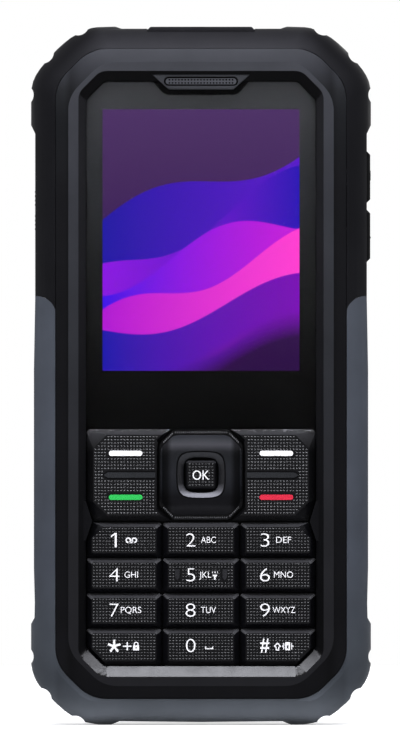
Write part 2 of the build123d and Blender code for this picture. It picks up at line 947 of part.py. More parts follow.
# Bumper outline, one half, as shares of the half width and of the height
side_share = 0.9747
lower_outline_shares = [
    (0, 0.0042),
    (0.4795, 0.0054),
    (0.5295, 0),
    (0.6, 0),
    (0.6764, 0.0035),
    (0.7630, 0.0135),
    (0.8031, 0.0203),
    (0.8577, 0.0318),
    (0.9078, 0.0451),
    (0.9475, 0.0548),
    (0.9640, 0.0605),
    (0.9814, 0.0690),
    (0.9927, 0.0776),
    (1, 0.0885),
    (1, 0.1442),
    (0.9790, 0.1535),
    (0.9770, 0.1750),
    (0.9826, 0.2250),
    (0.9826, 0.5080),
    (side_share, 0.6100),
]
upper_outline_shares = [
    (side_share, 0.8462),
    (1, 0.8589),
    (1, 0.9105),
    (0.9962, 0.9127),
    (0.9886, 0.9212),
    (0.9722, 0.9298),
    (0.9491, 0.9385),
    (0.8945, 0.9546),
    (0.8473, 0.9671),
    (0.8078, 0.9757),
    (0.7651, 0.9838),
    (0.7033, 0.9920),
    (0.6447, 0.9978),
    (0.6092, 0.9991),
    (0.5060, 1),
    (0.4940, 0.9990),
    (0.4680, 0.9966),
    (0, 0.9966),
]
# Scallops of the corners: place as shares of the same sizes, and the way they face in degrees
scallop_shares = [
    (1, 0.9019, 0),
    (0.8945, 0.9546, 43),
    (0.7033, 0.9918, 66),
    (1, 0.0977, 0),
    (0.9078, 0.0451, -43),
    (0.7204, 0.0083, -66),
]
scallop_radius = 2.0
scallop_depth = 0.5
envelope_corner, envelope_upper_extra = 8.4, 0.6
envelope_round = 9.0
envelope_front = 0.7
bumper_step = 0.6
bumper_back = thickness - bumper_step
front_roll = 8.0
back_roll = 2.5
seam_drop = 50.2
seam_slant = 2.7
split_outer = height - seam_drop
split_inner = split_outer - seam_slant
seam_bend = 0.68

outline_shares = lower_outline_shares + upper_outline_shares
outline_points = [(x * half_width, z * height) for x, z in outline_shares]
bumper_outline = polygon(outline_points + [(-x, z) for x, z in reversed(outline_points) if x])

with BuildPart() as envelope:
    envelope_outline = octagon(
        half_width, 0, height, envelope_corner, envelope_round, envelope_upper_extra
    )
    prism(envelope_outline, envelope_front, bumper_back)
    fillet(envelope.faces().sort_by(Axis.Y)[0].edges(), front_roll)
    fillet(envelope.faces().sort_by(Axis.Y)[-1].edges(), back_roll)

with BuildPart() as bumper_block:
    prism(bumper_outline, bumper_front, bumper_back)
    add(envelope.part, mode=Mode.INTERSECT)
    with BuildSketch(facing(bumper_back + overrun)) as scallops:
        for x_share, z_share, turn in scallop_shares:
            reach = Vector(scallop_radius - scallop_depth, 0).rotate(Axis.Z, turn)
            for side in (-1, 1):
                place = (side * (x_share * half_width + reach.X), z_share * height + reach.Y)
                with Locations(place):
                    Circle(scallop_radius)
    extrude(scallops.sketch, amount=bumper_back + 2 * overrun, mode=Mode.SUBTRACT)
    prism(
        octagon(
            housing_half + running_fit,
            housing_bottom - running_fit,
            housing_top + running_fit,
            housing_corner,
            housing_round,
        ),
        0,
        thickness,
        mode=Mode.SUBTRACT,
    )


def lower_zone(margin):
    """Everything below the curved seam between the bumpers."""
    wide, narrow = half_width + overrun, housing_half - overrun
    outer, inner = side_share * half_width, housing_half
    high, low = split_outer + margin, split_inner + margin
    bend_x, bend_z = outer - seam_bend * (outer - inner), low + seam_bend * (high - low)
    with BuildSketch() as zone:
        with BuildLine():
            for side in (-1, 1):
                Line((side * wide, high), (side * outer, high))
                ThreePointArc((side * outer, high), (side * bend_x, bend_z), (side * inner, low))
                Line((side * inner, low), (side * narrow, low))
                Line((side * wide, high), (side * wide, -overrun))
            Line((-wide, -overrun), (wide, -overrun))
            Line((-narrow, low), (narrow, low))
        make_face()
    return zone.sketch


with BuildPart() as lower_bumper:
    add(bumper_block.part)
    prism(lower_zone(0), -overrun, thickness + overrun, mode=Mode.INTERSECT)
finish(lower_bumper, "lower_bumper")

# Side keys and flaps, given by their height range
volume_gap = 0.8
volume_up_length = 10.1
volume_down_length = 10.2
volume_up_low = side_middle + volume_gap / 2
volume_up_high = volume_up_low + volume_up_length
volume_down_high = side_middle - volume_gap / 2
volume_down_low = volume_down_high - volume_down_length
volume_depth = thickness / 2
volume_half = 1.8
volume_sink = 0.15
volume_out = half_width - volume_sink
volume_corner = 0.9
volume_room = 1.26
volume_inner = housing_half + volume_room
flange_thickness = 0.55
flange_out = volume_inner + flange_thickness
flange_margin = 0.7
pocket_out = flange_out + fit
switch_half = 1.5
switch_thickness = 0.51
switch_button_reach = 0.15
switch_out = housing_half + switch_thickness
switch_button_radius = 0.8
switch_button_out = switch_out + switch_button_reach
flap_split_drop = 0.75
flap_split = side_middle - flap_split_drop
flap_gap = 0.12
flap_reach = 10.5
usb_flap_top = side_middle + flap_reach
audio_flap_bottom = side_middle - flap_reach
flap_half = 3.2
flap_thickness = 1.5
flap_plug_depth = 1.0
flap_out = side_share * half_width
usb_plug_half = 3.6
audio_plug_half = 1.7
plug_half_height = 1.1
mouth_margin = 0.7


def right_plane(offset):
    """Plane across the right side, this far out from the middle, looked at from outside."""
    return Plane(origin=(offset, volume_depth - thickness / 2, 0), x_dir=(0, 1, 0), z_dir=(1, 0, 0))


def side_box(plane, low, high, half, length, rounding=0, mode=Mode.ADD):
    """Solid on a side plane between two heights."""
    outline = rectangle((-half, low), (half, high), rounding)
    with BuildSketch(plane) as face:
        add(outline)
    extrude(face.sketch, amount=length, mode=mode)


with BuildPart() as upper_bumper:
    add(bumper_block.part)
    prism(lower_zone(fit), -overrun, thickness + overrun, mode=Mode.SUBTRACT)
    # Slots and inner pocket of the volume keys
    side_box(
        right_plane(housing_half - overrun),
        volume_down_low - flange_margin - fit,
        volume_up_high + flange_margin + fit,
        volume_half + flange_margin + fit,
        pocket_out - housing_half + overrun,
        mode=Mode.SUBTRACT,
    )
    for low, high in ((volume_up_low, volume_up_high), (volume_down_low, volume_down_high)):
        side_box(
            right_plane(housing_half),
            low - fit,
            high + fit,
            volume_half + fit,
            half_width,
            mode=Mode.SUBTRACT,
        )
    # Recess of the flaps, and the mouths of the sockets behind them
    side_box(
        socket_plane(flap_out - flap_thickness - fit),
        audio_flap_bottom - flap_gap,
        usb_flap_top + flap_gap,
        flap_half + flap_gap,
        half_width,
        mode=Mode.SUBTRACT,
    )
    side_box(
        socket_plane(housing_half - overrun),
        usb_centre - usb_half_length - mouth_margin,
        usb_centre + usb_half_length + mouth_margin,
        usb_half_height + mouth_margin,
        half_width,
        mode=Mode.SUBTRACT,
    )
    bore_left(
        half_width, housing_half - overrun, jack_centre, jack_radius + mouth_margin, Mode.SUBTRACT
    )
    # Seat of the torch bezel in the top
    torch_seat_low = housing_top - overrun
    torch_half = 9.9
    torch_front = 4.8
    torch_back = 11.2
    prism(
        rectangle((-torch_half - fit, torch_seat_low), (torch_half + fit, height + overrun)),
        torch_front - fit,
        torch_back + fit,
        mode=Mode.SUBTRACT,
    )
finish(upper_bumper, "upper_bumper")

# Volume keys and the switches behind them
for low, high, label in (
    (volume_up_low, volume_up_high, "volume_up_key"),
    (volume_down_low, volume_down_high, "volume_down_key"),
):
    flange_low = low - (flange_margin if label == "volume_down_key" else fit)
    flange_high = high + (flange_margin if label == "volume_up_key" else fit)
    with BuildPart() as volume_key:
        side_box(right_plane(volume_inner), low, high, volume_half, volume_out - volume_inner)
        chamfer(volume_key.faces().sort_by(Axis.X)[-1].edges().filter_by(Axis.Y), volume_corner)
        chamfer(volume_key.faces().sort_by(Axis.X)[-1].edges().filter_by(Axis.Z), edge_break)
        side_box(
            right_plane(volume_inner),
            flange_low,
            flange_high,
            volume_half + flange_margin,
            flange_out - volume_inner,
        )
    finish(volume_key, label)

with BuildPart() as side_switches:
    for low, high in ((volume_up_low, volume_up_high), (volume_down_low, volume_down_high)):
        middle = (low + high) / 2
        side_box(
            right_plane(housing_half),
            middle - switch_half,
            middle + switch_half,
            switch_half,
            switch_out - housing_half,
        )
        with BuildSketch(right_plane(switch_out)) as button:
            with Locations((0, middle)):
                Circle(switch_button_radius)
        extrude(button.sketch, amount=switch_button_out - switch_out)
finish(side_switches, "side_switches")

# Port flaps, each with a short plug against its socket
for low, high, centre, plug_half, label in (
    (flap_split + flap_gap / 2, usb_flap_top, usb_centre, usb_plug_half, "usb_port_flap"),
    (audio_flap_bottom, flap_split - flap_gap / 2, jack_centre, audio_plug_half, "audio_port_flap"),
):
    with BuildPart() as flap:
        side_box(socket_plane(flap_out - flap_thickness), low, high, flap_half, flap_thickness)
        side_box(
            socket_plane(flap_out - flap_thickness - flap_plug_depth),
            centre - plug_half,
            centre + plug_half,
            plug_half_height,
            flap_plug_depth,
        )
    finish(flap, label)

# Sockets behind the flaps
socket_face = housing_half - socket_wall
with BuildPart() as usb_connector:
    slot_left(socket_face, socket_face - usb_length, usb_half_length, usb_half_height, Mode.ADD)
    slot_left(
        socket_face + overrun,
        socket_face - usb_hollow,
        usb_half_length - usb_wall,
        usb_half_height - usb_wall,
        Mode.SUBTRACT,
    )
    side_box(
        socket_plane(socket_face - usb_length),
        usb_centre - tongue_half_length,
        usb_centre + tongue_half_length,
        tongue_half_height,
        usb_length - usb_hollow + tongue_reach,
    )
finish(usb_connector, "usb_connector")

with BuildPart() as audio_jack:
    bore_left(socket_face, socket_face - jack_length, jack_centre, jack_radius, Mode.ADD)
    bore_left(
        socket_face + overrun,
        socket_face - jack_bore_length,
        jack_centre,
        jack_bore_radius,
        Mode.SUBTRACT,
    )
finish(audio_jack, "audio_jack")

# Torch in the top edge
torch_top = height - fit
torch_lens_radius = 2.5
torch_lens_sink = 0.4
torch_lens_thickness = 2.1
torch_lens_top = torch_top - torch_lens_sink
torch_lens_low = torch_lens_top - torch_lens_thickness
torch_led_half = 1.1
torch_led_gap = 0.3
torch_led_top = torch_lens_low - torch_led_gap
torch_edge = 0.48
torch_base = housing_top + running_fit
torch_centre = (torch_front + torch_back) / 2


def torch_plane(level):
    """Level plane over the middle of the torch."""
    return Plane(origin=(0, torch_centre - thickness / 2, level))


with BuildPart() as torch_bezel:
    prism(rectangle((-torch_half, torch_base), (torch_half, torch_top)), torch_front, torch_back)
    chamfer(torch_bezel.faces().sort_by(Axis.Z)[-1].edges(), torch_edge)
    with BuildSketch(torch_plane(torch_base - overrun)) as torch_hole:
        Circle(torch_lens_radius + fit)
    extrude(torch_hole.sketch, amount=height, mode=Mode.SUBTRACT)
finish(torch_bezel, "torch_bezel")

with BuildPart() as torch_lens:
    with BuildSketch(torch_plane(torch_lens_low)):
        Circle(torch_lens_radius)
    extrude(amount=torch_lens_top - torch_lens_low)
finish(torch_lens, "torch_lens")

with BuildPart() as torch_led:
    with BuildSketch(torch_plane(torch_base)):
        Rectangle(2 * torch_led_half, 2 * torch_led_half)
    extrude(amount=torch_led_top - torch_base)
finish(torch_led, "torch_led")

# Camera, flash and loudspeaker in the back
camera_inner_radius = 3.6
camera_bezel_back = thickness - running_fit
camera_glass_thickness = 0.35
camera_glass_sink = 0.2
camera_glass_back = camera_bezel_back - camera_glass_sink
camera_glass_front = camera_glass_back - camera_glass_thickness
camera_module_half = 4.3
camera_module_gap = 2.0
camera_module_front = board_back + camera_module_gap
camera_barrel_back = camera_glass_front - fit
with BuildPart() as camera_bezel:
    prism(disc((0, camera_centre), camera_bezel_radius), camera_seat, camera_bezel_back)
    chamfer(camera_bezel.faces().sort_by(Axis.Y)[-1].edges(), edge_break)
    prism(disc((0, camera_centre), camera_inner_radius), 0, thickness + overrun, mode=Mode.SUBTRACT)
finish(camera_bezel, "camera_bezel")

with BuildPart() as camera_lens:
    prism(disc((0, camera_centre), camera_glass_radius), camera_glass_front, camera_glass_back)
finish(camera_lens, "camera_lens")

with BuildPart() as camera_module:
    prism(
        rectangle(
            (-camera_module_half, camera_centre - camera_module_half),
            (camera_module_half, camera_centre + camera_module_half),
        ),
        camera_module_front,
        speaker_back,
    )
    prism(disc((0, camera_centre), camera_barrel_radius), speaker_back, camera_barrel_back)
finish(camera_module, "camera_module")

with BuildPart() as flash_lens:
    prism(disc((flash_side, camera_centre), flash_radius), flash_front, camera_bezel_back)
    chamfer(flash_lens.faces().sort_by(Axis.Y)[-1].edges(), edge_break)
finish(flash_lens, "flash_lens")

flash_led_half = 0.9
flash_led_thickness = 1.0
flash_led_back = flash_front - fit
flash_led_front = flash_led_back - flash_led_thickness
with BuildPart() as flash_led:
    prism(
        rectangle(
            (flash_side - flash_led_half, camera_centre - flash_led_half),
            (flash_side + flash_led_half, camera_centre + flash_led_half),
        ),
        flash_led_front,
        flash_led_back,
    )
finish(flash_led, "flash_led")

with BuildPart() as loudspeaker:
    prism(
        rectangle(
            (-speaker_half_width, speaker_centre - speaker_half_height),
            (speaker_half_width, speaker_centre + speaker_half_height),
            battery_round,
        ),
        speaker_front,
        speaker_back,
    )
finish(loudspeaker, "loudspeaker")

with BuildPart() as speaker_grille:
    with BuildSketch(facing(camera_bezel_back)) as speaker_face:
        with Locations((0, speaker_centre)):
            Rectangle(2 * speaker_grille_half, speaker_grille_height)
            with GridLocations(0, speaker_slot_pitch, 1, speaker_slots):
                SlotOverall(
                    2 * (speaker_grille_half - speaker_slot_margin), speaker_slot, mode=Mode.SUBTRACT
                )
    extrude(speaker_face.sketch, amount=camera_bezel_back - speaker_grille_front)
finish(speaker_grille, "speaker_grille")

# Parts on the back of the board
can_shares = [
    ((-0.67, 0.42), (0.05, 0.68)),
    ((0.14, 0.42), (0.72, 0.68)),
    ((-0.67, 0.73), (0.72, 0.93)),
]
can_places = [
    [(x * bay_half, bay_bottom + z * bay_height) for x, z in corner_shares] for corner_shares in can_shares
]
can_back = 8.2
can_round = 0.6
mic_half_width = 1.75
mic_rise = 1.2
mic_height = 2.8
mic_low = cavity_bottom + mic_rise
mic_high = mic_low + mic_height
mic_back = 7.7
motor_radius = 4.0
motor_side_gap = 0.5
motor_top_gap = 3.4
motor_thickness = 2.7
motor_place = (
    upper_cavity_half - motor_radius - motor_side_gap,
    upper_cavity_top - motor_radius - motor_top_gap,
)
motor_front = speaker_back - motor_thickness
antenna_side_gap = 5.0
antenna_half = upper_cavity_half - antenna_side_gap
antenna_thickness = 0.4
antenna_front = 8.4
antenna_back_gap = 0.4
antenna_back = cavity_back - antenna_back_gap
with BuildPart() as shield_cans:
    for low, high in can_places:
        prism(rectangle(low, high, can_round), board_back, can_back)
finish(shield_cans, "shield_cans")

with BuildPart() as sim_card_holder:
    prism(rectangle(holder_low, holder_high), board_back, holder_back)
finish(sim_card_holder, "sim_card_holder")

with BuildPart() as battery_contacts:
    prism(rectangle((-contact_half, contact_low), (contact_half, contact_high)), board_back, contact_back)
    with BuildSketch(
        Plane(origin=(0, contact_pin_depth - thickness / 2, contact_low - contact_pin_reach))
    ) as pins:
        with GridLocations(contact_pin_pitch, 0, 3, 1):
            Circle(contact_pin_radius)
    extrude(pins.sketch, amount=contact_pin_reach)
finish(battery_contacts, "battery_contacts")

with BuildPart() as vibration_motor:
    prism(disc(motor_place, motor_radius), motor_front, speaker_back)
finish(vibration_motor, "vibration_motor")

with BuildPart() as microphone:
    prism(rectangle((-mic_half_width, mic_low), (mic_half_width, mic_high)), board_back, mic_back)
finish(microphone, "microphone")

with BuildPart() as antenna:
    prism(
        rectangle(
            (-antenna_half, upper_cavity_top - fit - antenna_thickness),
            (antenna_half, upper_cavity_top - fit),
        ),
        antenna_front,
        antenna_back,
    )
finish(antenna, "antenna")
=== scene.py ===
import json
from math import cos, pi, radians, sin, sqrt

import bmesh
import bpy
from mathutils import Matrix, Vector

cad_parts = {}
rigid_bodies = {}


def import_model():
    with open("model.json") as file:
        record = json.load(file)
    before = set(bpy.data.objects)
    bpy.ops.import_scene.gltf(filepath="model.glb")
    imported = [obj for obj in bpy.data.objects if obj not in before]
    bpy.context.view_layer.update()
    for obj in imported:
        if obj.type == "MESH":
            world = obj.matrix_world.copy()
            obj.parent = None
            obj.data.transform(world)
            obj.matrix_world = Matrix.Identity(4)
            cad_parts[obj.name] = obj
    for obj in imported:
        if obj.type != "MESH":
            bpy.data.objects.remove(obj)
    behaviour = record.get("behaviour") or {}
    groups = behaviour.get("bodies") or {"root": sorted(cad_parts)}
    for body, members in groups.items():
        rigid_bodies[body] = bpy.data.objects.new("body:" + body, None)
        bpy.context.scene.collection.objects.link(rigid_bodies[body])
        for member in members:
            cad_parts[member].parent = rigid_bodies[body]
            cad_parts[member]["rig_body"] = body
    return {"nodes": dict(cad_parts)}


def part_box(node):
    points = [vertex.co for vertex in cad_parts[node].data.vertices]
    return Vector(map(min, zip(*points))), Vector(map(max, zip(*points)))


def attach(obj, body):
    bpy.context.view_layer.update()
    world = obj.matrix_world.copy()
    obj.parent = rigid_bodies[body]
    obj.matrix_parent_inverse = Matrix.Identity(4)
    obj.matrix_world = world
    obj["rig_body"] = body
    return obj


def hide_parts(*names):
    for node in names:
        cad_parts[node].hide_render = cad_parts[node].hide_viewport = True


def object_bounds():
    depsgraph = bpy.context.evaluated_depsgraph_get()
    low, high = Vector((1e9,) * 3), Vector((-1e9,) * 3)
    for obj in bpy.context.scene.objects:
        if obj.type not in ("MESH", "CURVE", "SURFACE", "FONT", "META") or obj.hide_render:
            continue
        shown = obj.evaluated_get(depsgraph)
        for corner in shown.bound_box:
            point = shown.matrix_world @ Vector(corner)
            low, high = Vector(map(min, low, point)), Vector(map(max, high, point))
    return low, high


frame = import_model()
scene = bpy.context.scene
cad_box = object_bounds()

# Rugged feature phone that stands upright. Shapes are given in millimetres: x to the right, z upwards
# and depth behind the front of the lip. Lamps, the floor and the camera's reach are in metres.
MM = 0.001
front_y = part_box("front_housing")[0].y
phone_low, phone_high = [Vector(corner) for corner in cad_box]

# Photograph and camera
picture_width = 400
picture_height = 750
mm_per_pixel = 0.1862
centre_pixel = 201.0
floor_pixel = 724.7
camera_distance = 3000.0
camera_reach = 20.0
sensor_height = 24.0

# Studs and raised marks on the keys
stud_pitch = 0.59
stud_base_x, stud_base_z = 0.45, 0.44
stud_top_x, stud_top_z = 0.22, 0.08
stud_height = 0.085
stud_margin = 0.18
stud_rim = 0.12
mark_sink = 0.04
mark_proud = 0.15
capital_share = 0.7
round_gap = 0.01


def spot(x, depth, z):
    """Point in the row frame."""
    return Vector((x * MM, front_y + depth * MM, z * MM))


def depth_of(y):
    """Depth behind the front of the lip, in millimetres."""
    return (y - front_y) / MM


def linear(code):
    """Linear colour of a screen colour code, by the standard screen curve."""
    values = [int(code[i : i + 2], 16) / 255 for i in (1, 3, 5)]
    return tuple(v / 12.92 if v <= 0.04045 else ((v + 0.055) / 1.055) ** 2.4 for v in values) + (1.0,)


# Materials: noise is counted per metre, and its middle range is spread over the full one
noise_low, noise_high = 0.3, 0.7
mottle_scale, gloss_scale, scuff_scale, print_scale = 120.0, 400.0, 900.0, 9000.0
mottle_detail, scuff_detail, fine_detail = 4.0, 5.0, 2.0
gloss_swing = 0.04
wear_share = 0.35
bump_strength = 0.6


class Graph:
    """Nodes of a material or of the world, with short ways to add and join them."""

    def __init__(self, owner):
        self.owner = owner
        owner.use_nodes = True
        self.nodes, self.links = owner.node_tree.nodes, owner.node_tree.links

    def add(self, kind, **settings):
        """Node with its properties set."""
        made = self.nodes.new(kind)
        for key, value in settings.items():
            setattr(made, key, value)
        return made

    def feed(self, sockets, *sources):
        """Give each socket its number, its colour or another node's output."""
        for socket, source in zip(sockets, sources):
            if isinstance(source, (tuple, float)):
                socket.default_value = source
            else:
                self.links.new(source, socket)

    def plug(self, made, settings):
        """Feed sockets of a node by their names."""
        self.feed([made.inputs[name] for name in settings], *settings.values())

    def dress(self, settings):
        """Material whose shader is fed by the names of its sockets."""
        self.plug(self.nodes["Principled BSDF"], settings)
        return self.owner

    def place(self):
        """Place on the object, in its own coordinates."""
        return self.add("ShaderNodeTexCoord").outputs["Object"]

    def axes(self, place):
        """Distance from the middle plane and height of a place."""
        parts = self.add("ShaderNodeSeparateXYZ")
        self.feed(parts.inputs, place)
        return parts.outputs["X"], parts.outputs["Z"]

    def noise(self, place, scale, detail=3.0):
        """Noise over a place."""
        made = self.add("ShaderNodeTexNoise")
        self.plug(made, {"Vector": place, "Scale": scale, "Detail": detail})
        return made.outputs["Fac"]

    def span(self, value, low, high, to_low=0.0, to_high=1.0):
        """Value carried from one range to another and held at its ends."""
        made = self.add("ShaderNodeMapRange")
        self.feed(made.inputs, value, low, high, to_low, to_high)
        return made.outputs["Result"]

    def spread(self, noise, to_low=0.0, to_high=1.0):
        """Noise carried to a range."""
        return self.span(noise, noise_low, noise_high, to_low, to_high)

    def mixed(self, share, first, second, blend="MIX"):
        """Colour mixed by a share."""
        made = self.add("ShaderNodeMix", data_type="RGBA", blend_type=blend)
        share_socket, first_socket, second_socket = 0, 6, 7
        self.feed([made.inputs[i] for i in (share_socket, first_socket, second_socket)], share, first, second)
        return made.outputs[2]

    def work(self, operation, *values):
        """Values worked together."""
        made = self.add("ShaderNodeMath", operation=operation)
        self.feed(made.inputs, *values)
        return made.outputs[0]


def worn_edges(graph, patches):
    """Share of wear along outer edges, broken up by patches."""
    edge_radius, facing_plain, facing_worn = 0.25, 0.995, 0.9
    patch_low, patch_high = 0.42, 0.62
    rounded = graph.add("ShaderNodeBevel", samples=4)
    rounded.inputs["Radius"].default_value = edge_radius * MM
    geometry = graph.add("ShaderNodeNewGeometry")
    facing = graph.add("ShaderNodeVectorMath", operation="DOT_PRODUCT")
    graph.feed(facing.inputs, rounded.outputs["Normal"], geometry.outputs["Normal"])
    edge = graph.span(facing.outputs["Value"], facing_plain, facing_worn)
    return graph.work("MULTIPLY", edge, graph.span(patches, patch_low, patch_high))


def graded(graph, measure, stops):
    """Colour over a measure; each stop is millimetres and a colour code."""
    low, high = stops[0][0], stops[-1][0]
    ramp = graph.add("ShaderNodeValToRGB")
    graph.feed(ramp.inputs, graph.span(measure, low * MM, high * MM))
    while len(ramp.color_ramp.elements) < len(stops):
        ramp.color_ramp.elements.new(0.5)
    for element, (level, code) in zip(ramp.color_ramp.elements, stops):
        element.position = (level - low) / (high - low)
        element.color = linear(code)
    return ramp.outputs[0]


def rim_painted_highlight(graph, aside, upright):
    """Colour of the upper bumper with a painted highlight: lighter at the top, close to the housing's edge,
    and dark elsewhere.
    """
    near, far = "#2e2e31", "#131315"
    top_z, corner_sum, reach = 126.0, 143.2, 4.4
    side_rise, top_rise = 88.0, 110.0
    above = graph.work("SUBTRACT", upright, top_z * MM)
    beyond = graph.work("SUBTRACT", graph.work("ADD", aside, upright), corner_sum * MM)
    distance = graph.work("MAXIMUM", above, graph.work("MULTIPLY", beyond, sqrt(0.5)))
    close = graph.span(distance, reach * MM, 0.0)
    lifted = graph.span(graph.work("SUBTRACT", upright, aside), side_rise * MM, top_rise * MM)
    return graph.mixed(graph.work("MULTIPLY", close, lifted), linear(far), linear(near))


def moulded(
    name, colour, rough, shine,
    grain=7000.0, relief=0.003, mottle=0.1, wear=None, metal=0.0, side_shade=None, fade=None,
):
    """Moulded or coated surface: fine grain, faint mottling, uneven gloss and worn edges.

    The colour is a code, stops over the height, or a function of the graph and of the distances aside and
    upwards; the stops and the function that the materials give paint light and shade into it. Side shade
    darkens it by stops over the distance aside, as painted shade, and the gloss goes from full to a tenth
    between the two levels of fade.
    """
    graph = Graph(bpy.data.materials.new(name))
    place = graph.place()
    x, upright = graph.axes(place)
    aside = graph.work("ABSOLUTE", x)
    if isinstance(colour, str):
        tone = linear(colour)
    elif isinstance(colour, list):
        tone = graded(graph, upright, colour)
    else:
        tone = colour(graph, aside, upright)
    # Painted shade by the distance aside
    if side_shade:
        tone = graph.mixed(1.0, tone, graded(graph, aside, side_shade), "MULTIPLY")
    patches = graph.noise(place, mottle_scale, mottle_detail)
    tone = graph.mixed(1.0, tone, graph.spread(patches, 1 - mottle, 1 + mottle), "MULTIPLY")
    if wear:
        share = graph.work("MULTIPLY", worn_edges(graph, patches), wear_share)
        tone = graph.mixed(share, tone, linear(wear))
    bump = graph.add("ShaderNodeBump")
    fine = graph.noise(place, grain, fine_detail)
    graph.plug(bump, {"Strength": bump_strength, "Distance": relief * MM, "Height": fine})
    gloss = shine
    if fade:
        gloss = graph.span(upright, fade[0] * MM, fade[1] * MM, shine, shine / 10)
    uneven = graph.noise(place, gloss_scale)
    return graph.dress({
        "Base Color": tone,
        "Roughness": graph.spread(uneven, rough - gloss_swing, rough + gloss_swing),
        "Normal": bump.outputs["Normal"],
        "Specular IOR Level": gloss,
        "Metallic": metal,
    })


def glassy(name, tint, rough, index):
    """Clear moulded window with the faintest hairline scuffs."""
    graph = Graph(bpy.data.materials.new(name))
    scuff_low, scuff_high = 0.35, 0.75
    scuffs = graph.noise(graph.place(), scuff_scale, scuff_detail)
    uneven = graph.span(scuffs, scuff_low, scuff_high, rough, rough + gloss_swing)
    return graph.dress({"Base Color": tint, "Roughness": uneven, "Transmission Weight": 1.0, "IOR": index})


# Lit area of the display
screen_half, screen_low, screen_middle, screen_high = 18.3, 65.9, 90.0, 114.5

# Wallpaper of soft waves that cross the display: level at the middle, rise to the right, swell, waves across,
# phase, thickness, softness of the lower edge, left and right colour
wallpaper_waves = [
    (100.5, 0.42, 3.2, 0.8, 0.4, 15.0, 9.0, "#1f17a6", "#5a16c8"),
    (93.0, 0.5, 2.6, 1.0, 2.2, 11.0, 7.0, "#8a14e0", "#2a14b4"),
    (88.5, 0.3, 3.4, 0.9, 4.3, 10.0, 6.0, "#3a12e6", "#c81cd8"),
    (83.0, 0.4, 2.2, 1.1, 0.9, 8.0, 5.5, "#b014d2", "#ff3fd0"),
    (77.5, 0.22, 2.8, 0.8, 3.1, 7.0, 5.0, "#1c18ac", "#7a0cb4"),
]
wave_edge = 0.25


def wave_share(graph, x, z, level, rise, swell, turns, phase, thickness, softness):
    """Share of one wave: a clear upper edge, and a lower edge that fades."""
    angle = graph.span(x, -screen_half * MM, screen_half * MM, phase, phase + 2 * pi * turns)
    swing = graph.work("MULTIPLY", graph.work("SINE", angle), swell * MM)
    crest = graph.work("ADD", graph.work("MULTIPLY", x, rise), swing)
    below = graph.work("SUBTRACT", graph.work("ADD", crest, level * MM), z)
    upper = graph.span(below, 0.0, wave_edge * MM)
    lower = graph.span(below, (thickness + softness) * MM, thickness * MM)
    return graph.work("MULTIPLY", upper, lower)


def lit_display():
    """Lit picture: dark violet, shaded downwards, with soft waves across it."""
    graph = Graph(bpy.data.materials.new("lit_display"))
    place = graph.place()
    x, z = graph.axes(place)
    tone = graded(graph, z, [(screen_low, "#2b0a43"), (screen_middle, "#3b1c54"), (screen_high, "#4c3064")])
    across = graph.span(x, -screen_half * MM, screen_half * MM)
    for *shape, left, right in wallpaper_waves:
        colour = graph.mixed(across, linear(left), linear(right))
        tone = graph.mixed(wave_share(graph, x, z, *shape), tone, colour)
    rough_low, rough_high = 0.4, 0.5
    return graph.dress({
        "Emission Color": tone,
        "Emission Strength": 1.0,
        "Base Color": linear("#040405"),
        "Specular IOR Level": 0.0,
        "Roughness": graph.spread(graph.noise(place, print_scale, fine_detail), rough_low, rough_high),
    })


# Colours that carry painted light and shade: over the height, and over the distance aside for the shades of
# the sides
# Lip: painted light, lighter towards the top
lip_painted_light_stops = [(10.0, "#19191b"), (35.0, "#1b1b1d"), (70.0, "#26272a"), (105.0, "#303135"), (122.0, "#3a3b3f")]
# Outer slope of the housing: a painted highlight at the top and painted shade lower down
slope_painted_light_stops = [
    (5.0, "#0c0c0e"), (10.0, "#0e0e10"), (20.0, "#09090b"), (60.0, "#0d0d0f"), (100.0, "#121214"),
    (113.0, "#17181a"), (118.0, "#1f2022"), (122.0, "#303135"), (125.5, "#38393d"),
]
# Painted shade of the outer slope round the corners, by the distance aside
slope_painted_side_shade = [
    (12.0, "#ffffff"), (20.0, "#f4f4f4"), (22.5, "#e4e4e4"), (24.2, "#bcbcbc"), (25.4, "#ffffff"),
]
# Lower bumper: painted light, lightest along the bottom edge
slate_painted_light_stops = [
    (0.3, "#65696e"), (2.7, "#585c61"), (5.2, "#464a4f"), (8.0, "#3c4045"), (14.0, "#3b3f44"),
    (30.0, "#3f434a"), (80.0, "#454950"),
]
# Painted shade of the lower bumper towards the sides
slate_painted_side_shade = [(22.0, "#ffffff"), (26.5, "#e0e0e0"), (27.5, "#f8f8f8"), (31.6, "#e4e4e4")]
# Function keys: a painted highlight on their slopes, lighter towards the top
function_painted_light_stops = [
    (50.9, "#0a0a0b"), (52.2, "#161617"), (53.6, "#242426"), (54.2, "#2b2b2d"), (55.0, "#4e4e50"),
]
# Navigation ring: painted light and shade over the height
nav_painted_light_stops = [
    (39.2, "#141416"), (40.4, "#1c1c1e"), (41.1, "#101012"), (42.4, "#0e0e10"), (44.5, "#1a1b1e"),
    (47.0, "#202124"), (50.0, "#1c1d1f"), (50.9, "#1f2022"), (52.2, "#3d3d41"), (53.0, "#303134"),
    (53.7, "#242529"),
]
# Painted shade in a band on the ring's sides
nav_painted_side_shade = [(5.4, "#ffffff"), (6.3, "#828282"), (7.15, "#828282"), (7.3, "#ffffff")]
# Inner sides of the opening: painted shade, darker towards the bottom
inner_painted_shade_stops = [(25.0, "#040405"), (60.0, "#0e0e10"), (90.0, "#18181a"), (105.0, "#1a1a1c")]
# Well of the navigation ring: a painted highlight on its lower slope, fading upwards
well_painted_highlight_stops = [(42.9, "#7a7a80"), (43.7, "#48484c"), (45.0, "#1a1a1c"), (48.5, "#1a1a1c"), (50.3, "#2c2d30")]
# Display mask: dark print with a painted reflection that grows lighter upwards
mask_painted_reflection_stops = [(55.2, "#040404"), (67.0, "#0a0a0a"), (84.0, "#161717"), (103.0, "#242527"), (119.6, "#343537")]

